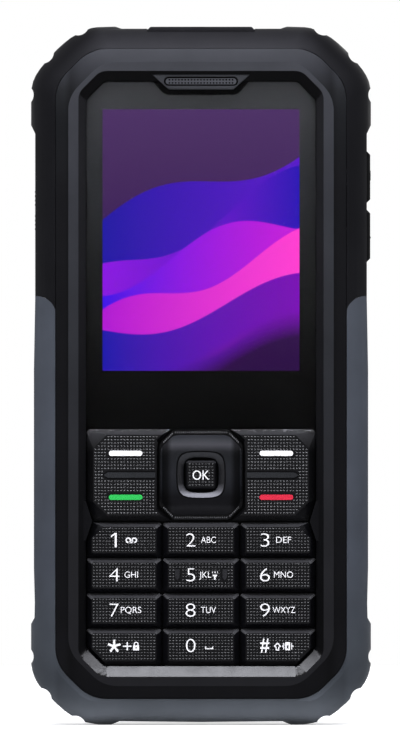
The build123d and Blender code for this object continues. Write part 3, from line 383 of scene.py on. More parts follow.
# Housing and bumpers
housing_black = moulded("housing_black", "#0b0b0d", rough=0.45, shine=0.03, relief=0.006, wear="#1c1c1e")
# Outer slope of the housing, with a painted highlight at the top and painted shade below and round the
# corners
slope_black_painted_light = moulded("slope_black_painted_light", slope_painted_light_stops, rough=0.42, shine=0.03, relief=0.005, side_shade=slope_painted_side_shade)
# Lip of the housing, with painted light that grows lighter upwards
lip_black_painted_light = moulded("lip_black_painted_light", lip_painted_light_stops, rough=0.45, shine=0.03, relief=0.006)
# Inner sides of the opening, with painted shade that darkens downwards
inner_side_painted_shade = moulded("inner_side_painted_shade", inner_painted_shade_stops, rough=0.4, shine=0.03)
bumper = {"grain": 5000.0, "relief": 0.012}
# Upper bumper: black with a painted highlight at the top, close to the housing's edge
bumper_black_painted_highlight = moulded("bumper_black_painted_highlight", rim_painted_highlight, rough=0.5, shine=0.02, wear="#202022", **bumper)
# Lower bumper: slate with painted light along the bottom, painted shade towards the sides, and worn edges
bumper_slate_painted_light = moulded(
    "bumper_slate_painted_light", slate_painted_light_stops, rough=0.6, shine=0.04, wear="#54585c", side_shade=slate_painted_side_shade, **bumper
)
coarse = {"grain": 2600.0, "relief": 0.04}
cover_black = moulded("cover_black", "#141416", rough=0.6, shine=0.12, wear="#333438", **coarse)
side_black = moulded("side_black", "#0a0a0b", rough=0.45, shine=0.06, relief=0.006, wear="#222224")
rubber = {"grain": 4000.0, "relief": 0.016}
flap_black = moulded("flap_black", "#111113", rough=0.65, shine=0.04, wear="#242426", **rubber)
earpiece_grey = moulded("earpiece_grey", "#323336", rough=0.5, shine=0.06, relief=0.004, wear="#3c3d40")
grille_grey = moulded("grille_grey", "#424347", rough=0.5, shine=0.06)
bezel_dark = moulded("bezel_dark", "#2a2b2e", rough=0.3, shine=0.5, metal=0.8, wear="#8a8c90")

# Glossy band round the keypad, navigation ring and its well; the ring carries painted light, the well's lower
# slope a painted highlight, and one black serves print and painted shade
polished = {"relief": 0.0006, "mottle": 0.05}
ring_gloss = moulded("ring_gloss", "#040405", rough=0.14, shine=0.2, fade=(9.4, 14.4), **polished)
# Well of the ring, with a painted highlight on its lower slope
well_painted_highlight = moulded("well_painted_highlight", well_painted_highlight_stops, rough=0.3, shine=0.1, **polished)
# Black for the print of the notch, and painted shade on the housing's downward and deep faces, in the ring's
# groove, round the earpiece's slot and round the rockers' bars
print_and_painted_shade_black = moulded("print_and_painted_shade_black", "#060607", rough=0.5, shine=0.03, relief=0.002, mottle=0.05)
# Navigation ring, with painted light and shade over its height and painted shade on its sides
nav_black_painted_light = moulded("nav_black_painted_light", nav_painted_light_stops, rough=0.4, shine=0.02, relief=0.002, mottle=0.05, side_shade=nav_painted_side_shade)

# Keys and their print; their slopes that look up, their upper corners and the rests on the middle key carry
# painted light
key_black = moulded("key_black", "#08080a", rough=0.35, shine=0.03)
# Lighter copies of the key black: painted light on slopes that look up, a painted highlight on upper corners
key_slope_painted_light = moulded("key_slope_painted_light", "#232325", rough=0.35, shine=0.05)
digit_slope_painted_light = moulded("digit_slope_painted_light", "#303032", rough=0.35, shine=0.05)
key_face = moulded("key_face", "#121213", rough=0.45, shine=0.03)
key_corner_painted_highlight = moulded("key_corner_painted_highlight", "#3c3c3e", rough=0.4, shine=0.06)
function_slope_painted_light = moulded("function_slope_painted_light", function_painted_light_stops, rough=0.35, shine=0.06)
bar_black = moulded("bar_black", "#252628", rough=0.4, shine=0.04, relief=0.002)
studded = {"relief": 0.0005, "mottle": 0.15}
stud_black = moulded("stud_black", "#111112", rough=0.22, shine=0.12, **studded)
# The rockers' studs a little lighter and the carrier's pale: painted highlights on black studs
stud_painted_light = moulded("stud_painted_light", "#1a1a1b", rough=0.22, shine=0.18, **studded)
stud_painted_highlight = moulded("stud_painted_highlight", "#58585a", rough=0.3, shine=0.2, **studded)
print_white = moulded("print_white", "#e8e8e8", rough=0.5, shine=0.2, relief=0.002, mottle=0.0)
print_green = moulded("print_green", "#2cb04f", rough=0.5, shine=0.1, relief=0.002, mottle=0.02)
print_red = moulded("print_red", "#c6283e", rough=0.5, shine=0.1, relief=0.002, mottle=0.02)

# Windows and display
lens_clear = glassy("lens_clear", (1.0, 1.0, 1.0, 1.0), rough=0.01, index=1.06)
cover_clear = glassy("cover_clear", (0.92, 0.93, 0.95, 1.0), rough=0.05, index=1.45)
glass_dark = moulded("glass_dark", "#08080c", rough=0.06, shine=0.5, relief=0.0005, mottle=0.3)
# Dark print behind the window, with a painted reflection that grows lighter upwards
mask_print_painted_reflection = moulded("mask_print_painted_reflection", mask_painted_reflection_stops, rough=0.5, shine=0.0, relief=0.0005, mottle=0.02)
display_picture = lit_display()

# Parts inside
steel = moulded("steel", "#a9abae", rough=0.32, shine=0.5, grain=3000.0, relief=0.004, metal=1.0)
contact_gold = moulded("contact_gold", "#d9b25a", rough=0.3, shine=0.5, metal=1.0)
copper = moulded("copper", "#b87444", rough=0.35, shine=0.5, metal=1.0, relief=0.004)
board_green = moulded("board_green", "#0d4a24", rough=0.35, shine=0.5, relief=0.01)
battery_wrap = moulded("battery_wrap", "#3a3b40", rough=0.45, shine=0.3, grain=1500.0, relief=0.01)
seal_red = moulded("seal_red", "#7a2a1c", rough=0.6, shine=0.3, relief=0.01)
phosphor = moulded("phosphor", "#e8cf62", rough=0.5, shine=0.4, relief=0.004)
part_black = moulded("part_black", "#0a0a0b", rough=0.6, shine=0.06, relief=0.012)


# Shapes
merge_distance, merge_print, flat_angle, eased_angle, smooth_angle = 0.002, 0.001, 0.5, 22, 35
front_facing, face_depth = -0.99, 0.01


def placed(name, data):
    """Object in the scene."""
    made = bpy.data.objects.new(name, data)
    scene.collection.objects.link(made)
    return made


def add_beside(node_name, name, mesh, *materials):
    """Object that rides with a node and takes the given materials as its finish."""
    piece = placed(name, mesh)
    for material in materials:
        mesh.materials.append(material)
    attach(piece, frame["nodes"][node_name]["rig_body"])
    return piece


def cleaned(node_name):
    """Bmesh of a node with its vertices joined and its flat faces whole."""
    form = bmesh.new()
    form.from_mesh(frame["nodes"][node_name].data)
    bmesh.ops.remove_doubles(form, verts=form.verts, dist=merge_distance * MM)
    flat = {"angle_limit": radians(flat_angle), "use_dissolve_boundaries": False}
    bmesh.ops.dissolve_limit(form, verts=form.verts, edges=form.edges, **flat)
    return form


def mesh_from(form, name):
    """Mesh from a bmesh, which is then freed."""
    mesh = bpy.data.meshes.new(name)
    form.to_mesh(mesh)
    form.free()
    return mesh


def settle(form, name, sharp=smooth_angle):
    """Mesh from a bmesh, smooth where its faces meet at a low angle."""
    for face in form.faces:
        face.smooth = True
    mesh = mesh_from(form, name)
    mesh.set_sharp_from_angle(angle=radians(sharp))
    return mesh


def ease(form, edges, size, segments):
    """Bevel edges by a size in millimetres."""
    bmesh.ops.bevel(
        form, geom=edges, offset=size * MM, segments=segments, profile=0.5, affect="EDGES", clamp_overlap=True
    )


def recast(node_name, *materials, bevel=0.12, segments=2, choose=None, leave=None, widen=None, shift=None):
    """Piece in place of a node: the same shape with eased edges.

    Shift moves vertices first, edges that widen picks are cut off, and edges that leave picks stay sharp.
    """
    form = cleaned(node_name)
    if shift:
        shift(form)
    if widen:
        ease(form, [e for e in form.edges if e.is_manifold and widen(e)], corner_cut, 1)
    if bevel:
        edges = [e for e in form.edges if e.is_manifold and e.calc_face_angle() > radians(eased_angle)]
        ease(form, [e for e in edges if not (leave and leave(e))], bevel, segments)
    if choose:
        for face in form.faces:
            face.material_index = choose(face)
    piece = add_beside(node_name, node_name + "_form", settle(form, node_name), *materials)
    even = piece.modifiers.new("even_shading", "WEIGHTED_NORMAL")
    even.keep_sharp = True
    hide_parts(node_name)


def front_outline(node_name):
    """Outline (x, z) and depth of a node's foremost flat face."""
    form = cleaned(node_name)
    lowest = min(v.co.y for v in form.verts)
    near = lowest + face_depth * MM
    faces = [f for f in form.faces if f.normal.y < front_facing and f.calc_center_median().y < near]
    face = max(faces, key=lambda f: f.calc_area())
    points = [(v.co.x / MM, v.co.z / MM) for v in face.verts]
    form.free()
    return points, depth_of(lowest)


def inside(outline, x, z):
    """Whether a place lies within an outline."""
    hit = False
    for (ax, az), (bx, bz) in zip(outline, outline[1:] + outline[:1]):
        if (az > z) != (bz > z) and x < (bx - ax) * (z - az) / (bz - az) + ax:
            hit = not hit
    return hit


def clear_of(outline, x, z, margin):
    """Whether a place and its surroundings lie within an outline."""
    return all(inside(outline, x + dx, z + dz) for dx in (-margin, margin) for dz in (-margin, margin))


def add_stud(form, x, z, depth, share=1.0):
    """Low pyramid with a flat top on a key; share narrows it."""
    rings = []
    for half_x, half_z, level in (
        (stud_base_x / 2 * share, stud_base_z / 2, depth + mark_sink),
        (stud_top_x / 2 * share, stud_top_z / 2, depth - stud_height),
    ):
        corners = ((-half_x, -half_z), (half_x, -half_z), (half_x, half_z), (-half_x, half_z))
        rings.append([form.verts.new(spot(x + dx, level, z + dz)) for dx, dz in corners])
    form.faces.new(rings[1])
    form.faces.new(list(reversed(rings[0])))
    for i in range(4):
        j = (i + 1) % 4
        form.faces.new((rings[0][i], rings[0][j], rings[1][j], rings[1][i]))


def stud_field(node_name, outline, depth, blocked=(), finish=stud_black):
    """Studs in straight rows over a key's face, apart from the blocked boxes."""
    form = bmesh.new()
    xs, zs = [p[0] for p in outline], [p[1] for p in outline]
    width, height = max(xs) - min(xs) - 2 * stud_rim, max(zs) - min(zs) - 2 * stud_rim
    columns, rows = round(width / stud_pitch), round(height / stud_pitch)
    for column in range(columns):
        for row in range(rows):
            x = min(xs) + stud_rim + (column + 0.5) * width / columns
            z = min(zs) + stud_rim + (row + 0.5) * height / rows
            if not clear_of(outline, x, z, stud_margin):
                continue
            if any(low_x < x < high_x and low_z < z < high_z for low_x, low_z, high_x, high_z in blocked):
                continue
            add_stud(form, x, z, depth)
    form.normal_update()
    name = node_name + "_studs"
    add_beside(node_name, name, mesh_from(form, name), finish)


def mesh_of(curve):
    """Mesh of a thick flat curve or text; its front has z above nought."""
    curve.extrude = 0.5
    holder = placed(curve.name, curve)
    bpy.context.view_layer.update()
    mesh = bpy.data.meshes.new_from_object(holder)
    bpy.data.objects.remove(holder)
    return mesh


def text_mesh(text, left, base, height, width, depth, trim):
    """Raised letters on a base line; height is a capital's, width is in all, and trim thins the strokes."""
    curve = bpy.data.curves.new("letters", "FONT")
    curve.body = text
    curve.offset = -trim
    mesh = mesh_of(curve)
    xs = [v.co.x for v in mesh.vertices]
    scale_x = width / (max(xs) - min(xs))
    scale_y = height / capital_share
    for v in mesh.vertices:
        level = depth - mark_proud if v.co.z > 0 else depth + mark_sink
        v.co = spot(left + (v.co.x - min(xs)) * scale_x, level, base + v.co.y * scale_y)
    return mesh


def flat_mesh(loops, front, back):
    """Flat piece between two depths; a loop within another is a hole."""
    curve = bpy.data.curves.new("flat", "CURVE")
    curve.dimensions = "2D"
    curve.fill_mode = "BOTH"
    for loop in loops:
        spline = curve.splines.new("POLY")
        spline.points.add(len(loop) - 1)
        for point, (x, z) in zip(spline.points, loop):
            point.co = (x, z, 0, 1)
        spline.use_cyclic_u = True
    mesh = mesh_of(curve)
    for v in mesh.vertices:
        v.co = spot(v.co.x, front if v.co.z > 0 else back, v.co.y)
    return mesh


def joined(meshes):
    """One bmesh of several meshes."""
    form = bmesh.new()
    for mesh in meshes:
        form.from_mesh(mesh)
        bpy.data.meshes.remove(mesh)
    bmesh.ops.remove_doubles(form, verts=form.verts, dist=merge_print * MM)
    bmesh.ops.recalc_face_normals(form, faces=form.faces)
    return form


def add_marks(node_name, name, meshes, material):
    """Marks of several meshes that ride with a node."""
    add_beside(node_name, name, settle(joined(meshes), name), material)


def add_flat(node_name, name, shapes, depth, proud, material):
    """Flat marks that stand proud of a node's face; a shape is its outline and holes."""
    meshes = [flat_mesh(loops, depth - proud, depth + mark_sink) for loops in shapes]
    add_marks(node_name, name, meshes, material)


def circle(x, z, radius, count=24):
    """Round loop."""
    turns = [2 * pi * i / count for i in range(count)]
    return [(x + radius * cos(t), z + radius * sin(t)) for t in turns]


def box_loop(low_x, low_z, high_x, high_z):
    """Upright box as a loop."""
    return [(low_x, low_z), (high_x, low_z), (high_x, high_z), (low_x, high_z)]


def plus_loops(x, z, reach, half):
    """Plus sign as a level box, one above it and one below."""
    upper = box_loop(x - half, z + half, x + half, z + reach)
    lower = box_loop(x - half, z - reach, x + half, z - half)
    return [box_loop(x - reach, z - half, x + reach, z + half), upper, lower]


def rounded_loop(low_x, low_z, high_x, high_z, radius, steps=6):
    """Upright box with round corners."""
    loop = []
    for x, z, start in (
        (high_x - radius, high_z - radius, 0),
        (low_x + radius, high_z - radius, 90),
        (low_x + radius, low_z + radius, 180),
        (high_x - radius, low_z + radius, 270),
    ):
        for i in range(steps + 1):
            turn = radians(start + 90 * i / steps)
            loop.append((x + radius * cos(turn), z + radius * sin(turn)))
    return loop


def star_loop(x, z, reach, half_width, arms=5):
    """Star with straight arms, the first one up."""
    loop = []
    for i in range(arms):
        turn = radians(90 + 360 * i / arms)
        along, across = Vector((cos(turn), sin(turn))), Vector((sin(turn), -cos(turn)))
        for side in (1, -1):
            loop.append(tuple(Vector((x, z)) + along * reach + across * half_width * side))
        middle = turn + pi / arms
        inner = half_width / sin(pi / arms)
        loop.append((x + inner * cos(middle), z + inner * sin(middle)))
    return loop


# Housings and bumpers: the opening in the front, depths behind the lip, and shares of a face's direction
opening_reach, opening_low, opening_high = 21.6, 10.8, 119.8
lip_depth, floor_depth, slope_depth = 0.012, 1.2, 1.7
slope_least, slope_most, sideways_share, underside = 0.3, 0.97, 2.5, -0.2


def front_finish(face):
    """Material of a face: 1 lip, 2 glossy band, 3 dark parts in painted shade, 4 outer slope, 5 inner sides,
    0 the rest.
    """
    middle = face.calc_center_median()
    depth = depth_of(middle.y)
    if depth < lip_depth:
        return 1
    if slope_least < -face.normal.y < slope_most and depth < slope_depth:
        rise = middle.z - phone_high.z / 2
        if face.normal.x * middle.x + face.normal.z * rise >= 0:
            return 4
        if abs(face.normal.x) > sideways_share * abs(face.normal.z):
            return 5
        return 3 if face.normal.z < underside else 2
    x, z = abs(middle.x) / MM, middle.z / MM
    return 3 if depth > floor_depth and x < opening_reach and opening_low < z < opening_high else 0


seam_low, seam_high, seam_gap = 76.5, 80.5, 0.09


def at_seam(edge):
    """Whether an edge lies at the seam between the bumpers."""
    return all(seam_low < v.co.z / MM < seam_high for v in edge.verts)


def close_seam(form):
    """Bring the lower end of the upper bumper down onto the lower bumper."""
    for vertex in form.verts:
        if seam_low < vertex.co.z / MM < seam_high:
            vertex.co.z -= seam_gap * MM


front_materials = (housing_black, lip_black_painted_light, ring_gloss, print_and_painted_shade_black, slope_black_painted_light, inner_side_painted_shade)
recast("front_housing", *front_materials, bevel=0.1, choose=front_finish)
recast("rear_housing", housing_black, bevel=0.08)
recast("upper_bumper", bumper_black_painted_highlight, leave=at_seam, shift=close_seam)
recast("lower_bumper", bumper_slate_painted_light, bevel=0.05, leave=at_seam)
recast("battery_cover", cover_black)
for lock_name in ("cover_lock_left", "cover_lock_right"):
    recast(lock_name, steel, bevel=0.1)

# Display: clear window, and behind it the dark print with its opening, lighter upwards as a painted
# reflection, and the black print of the notch
window_back, mask_front, mask_back, print_gap = 2.2, 2.22, 2.28, 0.004
window_outline = front_outline("display_lens")[0]
window_form = cleaned("display_lens")
for vertex in window_form.verts:
    if depth_of(vertex.co.y) > window_back:
        vertex.co.y = spot(0, window_back, 0).y
window_mesh = settle(window_form, "display_window")
window_piece = add_beside("display_lens", "display_window", window_mesh, lens_clear)
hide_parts("display_lens")
screen_loop = box_loop(-screen_half, screen_low, screen_half, screen_high)
mask_mesh = flat_mesh([window_outline, screen_loop], mask_front, mask_back)
add_marks("display_lens", "display_mask", [mask_mesh], mask_print_painted_reflection)
notch_half = [(8.9, 119.6), (8.3, 118.9), (7.63, 118.07), (6.84, 117.4), (6.0, 117.14)]
notch_loop = notch_half + [(-x, z) for x, z in reversed(notch_half)]
notch_mesh = flat_mesh([notch_loop], window_back + print_gap, mask_front - print_gap)
add_marks("display_lens", "display_notch", [notch_mesh], print_and_painted_shade_black)

# Earpiece, with a dark outline round its slot: painted shade at the slot's edge
recast("earpiece_bezel", earpiece_grey)
recast("earpiece_grille", grille_grey, bevel=0)
grille_low, grille_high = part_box("earpiece_grille")
slot_half, slot_low, slot_high = grille_high.x / MM, grille_low.z / MM, grille_high.z / MM
slot_depth, slot_shade_width, slot_proud = depth_of(grille_low.y), 0.21, 0.02
slot_loops = []
for inset in (0, slot_shade_width):
    slot_box = (-slot_half + inset, slot_low + inset, slot_half - inset, slot_high - inset)
    slot_loops.append(rounded_loop(*slot_box, (slot_high - slot_low) / 2 - inset - round_gap))
add_flat("earpiece_grille", "earpiece_slot_shade", [slot_loops], slot_depth, slot_proud, print_and_painted_shade_black)

# Keys with their studs: sizes, then shares of a face's direction
corner_cut, corner_rise, key_lift, low_slope, outer_x, outer_z = 0.5, 0.5, 0.1, 12.2, 14.0, 32.0
plain, steep, upwards_share, straight = 0.97, 0.3, 0.25, 0.2


def key_finish(face):
    """Material of a key's face: 1 the slopes that look up, in painted light, 2 the flat front, 3 upper
    corners, with a painted highlight, 0 the rest.

    The lowest slopes of the lowest keys are as the front.
    """
    normal, middle = face.normal, face.calc_center_median() / MM
    foot = middle.z < low_slope and normal.z < -steep and abs(normal.x) < straight
    if normal.y < -plain or foot:
        return 2
    if normal.z < upwards_share:
        return 0
    if abs(normal.x) < straight or -normal.y < straight:
        return 1
    return 0 if abs(middle.x) > outer_x and middle.z > outer_z else 3


def upper_corner(edge):
    """Whether an edge joins a slope that looks up to one that looks aside."""
    upper, side = sorted((face.normal for face in edge.link_faces), key=lambda normal: -normal.z)
    sloped = all(-plain < normal.y < -straight for normal in (upper, side))
    square = abs(upper.x) < straight and abs(side.z) < straight
    start, end = edge.verts
    long = abs(start.co.y - end.co.y) > corner_rise * MM
    return sloped and square and long and upper.z > steep and abs(side.x) > steep


def raised(points):
    """Outline of a key's face with its upper side lifted."""
    middle = (min(p[1] for p in points) + max(p[1] for p in points)) / 2
    return [(x, z + key_lift if z > middle else z) for x, z in points]


def raise_top(form):
    """Lift the upper side of a key's form."""
    levels = [v.co.z for v in form.verts]
    middle = (min(levels) + max(levels)) / 2
    for vertex in form.verts:
        if vertex.co.z > middle:
            vertex.co.z += key_lift * MM


def function_finish(face):
    """Material of a function key's face: 1 the slopes that look up or aside, in painted light, 2 front and
    foot, 0 the rest.
    """
    normal = face.normal
    if normal.y < -plain or normal.z < -steep and abs(normal.x) < straight:
        return 2
    return 0 if normal.z < -straight else 1


key_names = [*"123456789", "star", "0", "hash"]
nub_x, nub_low, nub_high, nub_half = 4.41, 26.85, 29.05, 0.52
nub_blocked = [(side * nub_x - nub_half, nub_low, side * nub_x + nub_half, nub_high) for side in (-1, 1)]
for key_name in key_names:
    key_node = "key_" + key_name
    # Slopes that look up in painted light, and upper corners cut into facets with a painted highlight
    finish = (key_black, digit_slope_painted_light, key_face, key_corner_painted_highlight)
    recast(key_node, *finish, bevel=0.08, choose=key_finish, widen=upper_corner, shift=raise_top)
    outline, depth = front_outline(key_node)
    stud_field(key_node, raised(outline), depth, nub_blocked if key_name == "5" else ())


# Signs beside the digits, each a list of shapes
def one_and_mail():
    """Figure one, and two rings on a bar."""
    left, low, high, right, stem, flag, drop = -16.72, 33.1, 35.76, -15.66, 0.36, 0.34, 0.5
    figure = [(right - stem, low), (right, low), (right, high), (right - stem, high)]
    figure += [(left, high - drop), (left, high - drop - flag), (right - stem, high - flag)]
    ring_x, ring_z, outer, inner = (-13.5, -12.4), 34.42, 0.52, 0.28
    rings = [[circle(x, ring_z, outer), circle(x, ring_z, inner)] for x in ring_x]
    bar = box_loop(ring_x[0], ring_z - outer, ring_x[1], ring_z - inner)
    return rings + [[bar], [figure]]


def torch():
    """Torch that shines upwards."""
    handle = [(2.42, 27.12), (2.74, 27.12), (2.74, 27.6), (2.98, 27.82), (2.98, 28.02), (2.16, 28.02)]
    handle += [(2.16, 27.82), (2.42, 27.6)]
    ray_places, ray_half, ray_low, ray_high = (2.14, 2.6, 3.06), 0.07, 28.3, 28.62
    rays = [box_loop(x - ray_half, ray_low, x + ray_half, ray_high) for x in ray_places]
    return [[handle]] + [[ray] for ray in rays]


def star_and_lock():
    """Star, plus sign and padlock."""
    star_x, middle, star_reach, star_half = -16.13, 14.72, 1.22, 0.2
    plus_x, plus_reach, plus_half = -13.7, 0.78, 0.11
    plus = plus_loops(plus_x, middle, plus_reach, plus_half)
    lock_x, lock_half, lock_low, lock_high, lock_corner = -12.05, 0.55, 13.95, 14.9, 0.12
    case = rounded_loop(lock_x - lock_half, lock_low, lock_x + lock_half, lock_high, lock_corner)
    keyhole_z, keyhole_radius, keyhole_sides = 14.42, 0.15, 12
    keyhole = circle(lock_x, keyhole_z, keyhole_radius, keyhole_sides)
    outer, inner, shackle_leg = 0.45, 0.26, 0.2
    shackle = []
    for radius, way in ((outer, 1), (inner, -1)):
        centre_z = lock_high + shackle_leg
        arch = [p for p in circle(lock_x, centre_z, radius) if p[1] >= centre_z - round_gap]
        shackle += ([(lock_x + radius, lock_high)] + arch + [(lock_x - radius, lock_high)])[::way]
    star = star_loop(star_x, middle, star_reach, star_half)
    return [[star], *([box] for box in plus), [case, keyhole], [shackle]]


def space():
    """Flat bracket that stands for a space."""
    low, high, left, right, bar = 14.18, 14.68, 0.76, 2.26, 0.19
    loop = [(left, low), (right, low), (right, high), (right - bar, high), (right - bar, low + bar)]
    return [[loop + [(left + bar, low + bar), (left + bar, high), (left, high)]]]


def shift_and_ring():
    """Hollow arrow, and a handset that rings."""
    arrow = [(14.2, 15.45), (14.9, 14.7), (14.53, 14.5), (14.53, 13.95), (13.87, 13.95), (13.87, 14.5)]
    arrow += [(13.5, 14.7)]
    hollow = [(14.2, 15.14), (14.6, 14.72), (14.35, 14.58), (14.35, 14.14), (14.05, 14.14), (14.05, 14.58)]
    hollow += [(13.8, 14.72)]
    handset_x, handset_half, handset_low, handset_high, handset_corner = 16.1, 0.46, 13.98, 15.5, 0.1
    handset = rounded_loop(
        handset_x - handset_half, handset_low, handset_x + handset_half, handset_high, handset_corner
    )
    face_half, face_low, face_high = 0.15, 14.3, 14.95
    face = box_loop(handset_x - face_half, face_low, handset_x + face_half, face_high)
    shapes = [[arrow, hollow], [handset, face]]
    wave_half, wave_z = 0.08, 14.74
    for side in (-1, 1):
        for near, half in ((0.74, 0.6), (0.96, 0.16)):
            x = handset_x + side * near
            shapes.append([box_loop(x - wave_half, wave_z - half, x + wave_half, wave_z + half)])
    return shapes


signs = {"1": one_and_mail, "5": torch, "star": star_and_lock, "0": space, "hash": shift_and_ring}

# Legends of the digit keys: left edge and width of the digit, and the letters with theirs
digit_height, letter_height, letter_rise, hash_rise = 2.58, 1.18, 0.72, 0.25
digit_trim, hash_trim, letter_trim, ok_trim = 0.016, -0.008, 0.004, 0.0
row_bases = [33.2, 26.74, 20.18, 13.6]
digits = {
    "2": (-2.77, 1.73),
    "3": (11.04, 1.65),
    "4": (-17.1, 1.95),
    "5": (-2.72, 1.62),
    "6": (10.98, 1.8),
    "7": (-16.98, 1.68),
    "8": (-2.86, 1.82),
    "9": (10.98, 1.8),
    "0": (-2.8, 1.76),
    "hash": (10.98, 1.7),
}
letters = {
    "2": ("ABC", -0.03, 2.8),
    "3": ("DEF", 13.95, 2.8),
    "4": ("GHI", -14.2, 2.5),
    "5": ("JKL", -0.34, 2.25),
    "6": ("MNO", 13.56, 3.55),
    "7": ("PQRS", -14.9, 3.8),
    "8": ("TUV", -0.03, 2.8),
    "9": ("WXYZ", 13.3, 4.2),
}
for index, key_name in enumerate(key_names):
    key_node = "key_" + key_name
    base = row_bases[index // 3]
    depth = front_outline(key_node)[1]
    shapes = signs[key_name]() if key_name in signs else []
    marks = [flat_mesh(loops, depth - mark_proud, depth + mark_sink) for loops in shapes]
    if key_name in digits:
        text, foot, trim = key_name, base, digit_trim
        if key_name == "hash":
            text, foot, trim = "#", base + hash_rise, hash_trim
        left, width = digits[key_name]
        marks.append(text_mesh(text, left, foot, digit_height, width, depth, trim))
    if key_name in letters:
        text, left, width = letters[key_name]
        marks.append(text_mesh(text, left, base + letter_rise, letter_height, width, depth, letter_trim))
    add_marks(key_node, key_node + "_legend", marks, print_white)

# Two shield-shaped rests for the finger on the middle key, in the slopes' painted light
nub_inset, nub_shoulder, nub_proud = 0.1, 0.7, 0.22
nubs = []
for side in (-1, 1):
    x, half = side * nub_x, nub_half - nub_inset
    loop = [(x - half, nub_high), (x - half, nub_low + nub_shoulder), (x, nub_low + nub_inset)]
    loop += [(x + half, nub_low + nub_shoulder), (x + half, nub_high)]
    nubs.append([loop])
add_flat("key_5", "key_5_nubs", nubs, front_outline("key_5")[1], nub_proud, key_slope_painted_light)

# Function rockers: studs, a smooth pointed bar with a dark edge of painted shadow round it, and a dash above
# and below it
dash_x, dash_half, dash_height = 14.0, 3.12, 0.98
dash_levels = (50.57, 42.4)
dash_clear_x, dash_clear_z = 0.2, 0.1
bar_inner, bar_shoulder, bar_tip, bar_level = 8.5, 17.3, 17.95, 46.53
bar_half, bar_nose, bar_shadow_rim = 0.5, 0.15, 0.28
bar_clear_inner, bar_clear_tip, bar_clear_z = 1.0, 0.3, 0.35
# The second layer is a black rim round the bar: a painted shadow
bar_layers = (("_bar", 0.0, 0.12, bar_black), ("_bar_shadow_rim", bar_shadow_rim, 0.03, print_and_painted_shade_black))
rockers = ((-1, "left_function_key", print_green), (1, "right_function_key", print_red))
for side, node_name, lower_print in rockers:
    recast(node_name, key_black, function_slope_painted_light, key_face, segments=3, choose=function_finish)
    outline, depth = front_outline(node_name)
    dash_low, dash_high = side * dash_x - dash_half, side * dash_x + dash_half
    blocked = []
    for level in dash_levels:
        rise = dash_height / 2 + dash_clear_z
        blocked.append((dash_low - dash_clear_x, level - rise, dash_high + dash_clear_x, level + rise))
    low_x, high_x = sorted((side * (bar_inner - bar_clear_inner), side * (bar_tip + bar_clear_tip)))
    rise = bar_half + bar_clear_z
    blocked.append((low_x, bar_level - rise, high_x, bar_level + rise))
    stud_field(node_name, outline, depth, blocked, stud_painted_light)
    for suffix, grow, proud, finish in bar_layers:
        half = bar_half + grow
        corners = [(bar_inner, half), (bar_shoulder + grow / 2, half), (bar_tip + grow, bar_nose)]
        loop = [(side * x, bar_level - rise) for x, rise in corners]
        loop += [(side * x, bar_level + rise) for x, rise in reversed(corners)]
        add_flat(node_name, node_name + suffix, [[loop]], depth, proud, finish)
    for level, label, material in zip(dash_levels, ("upper", "lower"), (print_white, lower_print)):
        low, high = level - dash_height / 2, level + dash_height / 2
        dash = rounded_loop(dash_low, low, dash_high, high, dash_height / 2 - round_gap)
        add_flat(node_name, f"{node_name}_{label}_dash", [[dash]], depth, mark_proud, material)

# Navigation ring and its carrier
nav_low, nav_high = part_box("nav_ring")
nav_half_x, nav_half_z = nav_high.x / MM, (nav_high.z - nav_low.z) / 2 / MM
nav_z = (nav_high.z + nav_low.z) / 2 / MM
nav_front, nav_back = depth_of(nav_low.y), depth_of(nav_high.y)

# Loops of the ring from its outer foot to its hole: inset at the sides, above and below, corner cut,
# sharpness and share of the depth from the front (0) to the back (1)
ring_loops = [
    (0.0, 0.0, 0.0, 2.5, 30, 1.0),
    (0.05, 0.05, 0.05, 2.5, 28, 0.96),
    (0.25, 0.35, 0.3, 2.4, 24, 0.82),
    (0.5, 0.9, 0.65, 2.3, 20, 0.54),
    (0.8, 1.45, 1.0, 2.1, 16, 0.24),
    (1.1, 2.0, 1.4, 1.8, 13, 0.05),
    (1.6, 2.5, 1.9, 1.5, 10, 0.0),
    (2.95, 2.9, 2.9, 0.9, 8, 0.0),
    (2.97, 2.92, 2.92, 0.9, 8, 0.08),
    (3.2, 3.14, 3.14, 0.9, 8, 0.08),
    (3.21, 3.15, 3.15, 0.9, 8, 0.02),
    (3.24, 3.18, 3.18, 0.9, 8, 0.03),
    (4.19, 4.08, 4.08, 0.6, 7, 0.57),
    (4.28, 4.12, 4.12, 0.6, 7, 0.7),
    (4.28, 4.12, 4.12, 0.6, 7, 1.0),
]
# The groove row takes the black of painted shade, and the well row a painted highlight
groove_row, well_row = 8, 11
ring_steps, ring_smooth_angle = 160, 28


def ring_reach(turn, half_x, half_z, cut, sharpness):
    """Distance from the middle to a rectangle with cut, rounded corners."""
    across, up = abs(cos(turn)), abs(sin(turn))
    corner = (across + up) / (half_x + half_z - cut)
    total = (across / half_x) ** sharpness + (up / half_z) ** sharpness + corner**sharpness
    return total ** (-1 / sharpness)


